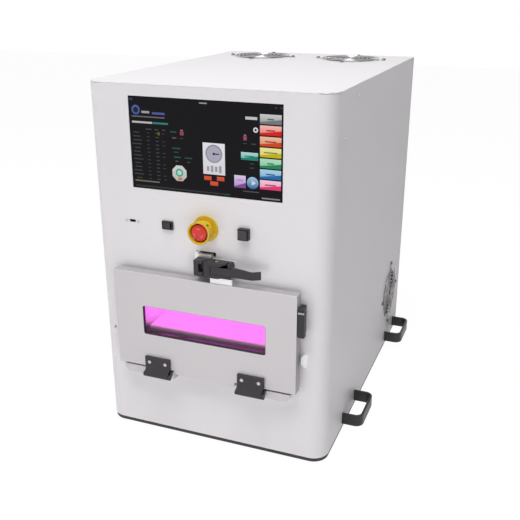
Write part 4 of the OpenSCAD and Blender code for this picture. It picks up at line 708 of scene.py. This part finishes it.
# Small readings and lamps between the table and the keys: x, z, width, height, colour.
for x, z, w, h, hue in (
        (-56, 23.5, 12, 3, (0.008, 0.060, 0.022)), (-40, 22, 7, 6.5, (0.30, 0.045, 0.07)),
        (-40, 27, 5, 2, (0.22, 0.20, 0.20)), (-54.5, 13.5, 8, 2, (0.10, 0.10, 0.10)),
        (-41, 13.5, 6, 1.6, (0.030, 0.050, 0.036)), (-51, -4, 16, 2.2, (0.012, 0.075, 0.058)),
        (-52, -10.5, 9, 1.8, (0.030, 0.060, 0.050)), (-50, -19, 13, 2.2, (0.012, 0.085, 0.065)),
        (-29, -19, 14, 1.8, (0.012, 0.080, 0.060)), (-51, -26, 5, 1.8, (0.09, 0.09, 0.09)),
        (-29, -26, 6, 1.8, (0.06, 0.06, 0.06)), (74, 22, 6, 6.5, (0.36, 0.05, 0.10)),
        (74, 27, 4, 2, (0.26, 0.22, 0.23)), (74, 13.5, 7, 1.4, (0.012, 0.060, 0.048)),
        (89, 13.5, 8, 1.6, (0.06, 0.06, 0.06)), (86, -19, 8, 1.6, (0.030, 0.045, 0.042)),
        (86, -26, 8, 1.6, (0.045, 0.045, 0.045)), (84, -66, 28, 1.8, (0.07, 0.07, 0.07))):
    tile(x, z, w, h, hue)

# Pump symbol: an eight-sided plate with a green ring, and an orange bar below it.
disc(-47, -46.5, 14.5, (0.66, 0.67, 0.63), (0.50, 0.51, 0.47), sides=8, turn=22.5)
disc(-47, -45.5, 7.2, (0.02, 0.42, 0.28), lift=2)
disc(-47, -45.5, 4.0, (0.62, 0.64, 0.60), lift=3)
tile(-46, -56, 8, 4.4, (0.70, 0.15, 0.05), lift=4)

# Chamber symbol: a pale plate with a dial and its pointer, four bars and three red keys.
dark_ink = (0.02, 0.018, 0.03)
tile(18, -16.5, 40, 53, (0.80, 0.80, 0.82), (0.70, 0.70, 0.73))
disc(18, -8, 15.5, (0.29, 0.27, 0.35), (0.33, 0.31, 0.40), lift=2)
disc(18, -8, 12.8, (0.42, 0.40, 0.50), lift=3)
tile(22.5, -8, 11, 2.0, dark_ink, lift=4)
disc(18, -8, 2.2, dark_ink, lift=5)
for k in range(4):
    tile(7 + k * 7.4, -33.5, 4.6, 8 + (k * 3 % 5), (0.34, 0.32, 0.42), lift=2)
for x, z, w in ((6, -50, 13.5), (29.5, -49.5, 13.5), (17.5, -58.5, 14.5)):
    tile(x, z, w, 7, (0.72, 0.085, 0.030), (0.60, 0.055, 0.018))

# Rims: a blank field and a ring beside the top key, small marks along the top, and
# status bars along the foot.
tile(85, 54.8, 20.5, 4.6, (0.56, 0.56, 0.57))
disc(92.5, 36.5, 4.3, white_ink)
disc(92.5, 36.5, 2.0, black, lift=2)
tile(0.5, 74, 14, 2.2, (0.30, 0.30, 0.31))
tile(-134, 74, 8, 4, (0.022, 0.026, 0.075))
for k in range(2):
    tile(127 + k * 9, 73.5, 3.4, 2.0, (0.05, 0.05, 0.052))
tile(-110, -66, 48, 2.2, (0.16, 0.16, 0.155))
tile(-122, -66, 9, 2.4, (0.20, 0.15, 0.02), lift=2)
tile(-43, -75, 180, 2.4, (0.028, 0.028, 0.030))
tile(41, -75, 11, 2.4, (0.008, 0.060, 0.040), lift=2)
tile(119, -75, 32, 2.4, (0.24, 0.24, 0.245))

pick_only(tiles[0])
for obj in tiles:
    obj.select_set(True)
bpy.ops.object.join()
picture = bpy.context.object
picture.name = "screen_picture"
lit_ink = bpy.data.materials.new("lit_picture")
lit_ink.use_nodes = True
tree = lit_ink.node_tree
ink_skin = tree.nodes["Principled BSDF"].inputs
ink_skin["Roughness"].default_value = 0.12
ink_skin["Specular IOR Level"].default_value = 0.12
ink_skin["Base Color"].default_value = (0.01, 0.01, 0.01, 1)
stored_hue = tree.nodes.new("ShaderNodeVertexColor")
stored_hue.layer_name = "picture_colour"
feed(tree, ink_skin["Emission Color"], stored_hue.outputs["Color"])
ink_skin["Emission Strength"].default_value = 0.9
picture.data.materials.append(lit_ink)
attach(picture, "cabinet")


# Fans and guards: black axial fans under the cover and behind the right wall, each
# behind a chromed wire guard. A blank grey label covers each rotor's hub.
chrome = surface("chromed_wire", (0.34, 0.33, 0.34), 0.13, metal=1.0, bump=0.02)
fan_plastic = surface("fan_plastic", (0.016, 0.015, 0.017), 0.5, tint=0.15)
blank_label = surface("blank_label", (0.42, 0.42, 0.43), 0.45, tint=0.05, bump=0.03)
repaint("fan_guards", chrome)
dressed_copy("fan_frames", "cabinet", fan_plastic, edge=0.5)
for side in ("left", "right", "side"):
    rotor = dressed_copy("fan_rotor_" + side, "fan_rotor_" + side, fan_plastic, edge=0.3)
    rotor.data.materials.append(blank_label)
    out = 0 if side == "side" else 2
    hub_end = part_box("fan_rotor_" + side)[1][out] - 0.1 * MM
    for face in rotor.data.polygons:
        if face.normal[out] > 0.99 and face.center[out] > hub_end:
            face.material_index = 1


# Rear connections: a flanged stainless vacuum port, brass gas fittings and the black
# mains inlet.
stainless = surface("stainless_tube", (0.62, 0.61, 0.60), 0.26, metal=1.0, tint=0.05,
                    bump=0.05, texture=brushed_lines)
brass = surface("brass_fitting", (0.72, 0.56, 0.28), 0.28, metal=1.0, tint=0.06, bump=0.05)
dressed_copy("vacuum_tubes", "cabinet", stainless, edge=0.5)
dressed_copy("gas_fittings", "cabinet", brass, edge=0.3)
dressed_copy("mains_inlet", "cabinet", black_plastic, edge=0.4)


# Inner units: plated sheet boxes, the valve, the gauge, tubes and the control board.
# They are hidden by the case and keep plain working finishes.
plated = surface("plated_sheet", (0.55, 0.55, 0.56), 0.36, metal=0.9, tint=0.08, bump=0.04)
board = surface("solder_mask_green", (0.015, 0.15, 0.06), 0.3, tint=0.2, bump=0.2, per_metre=300)
for finish, names in (
        (plated, ("display_module", "chamber_cradle", "rf_generator", "rf_match_box",
                  "power_supply", "gas_controllers")),
        (stainless, ("pressure_gauge", "gas_tubes")), (grey_plastic, ("switch_blocks",)),
        (machined_alu, ("vacuum_valve",)), (board, ("control_board",))):
    for name in names:
        repaint(name, finish)
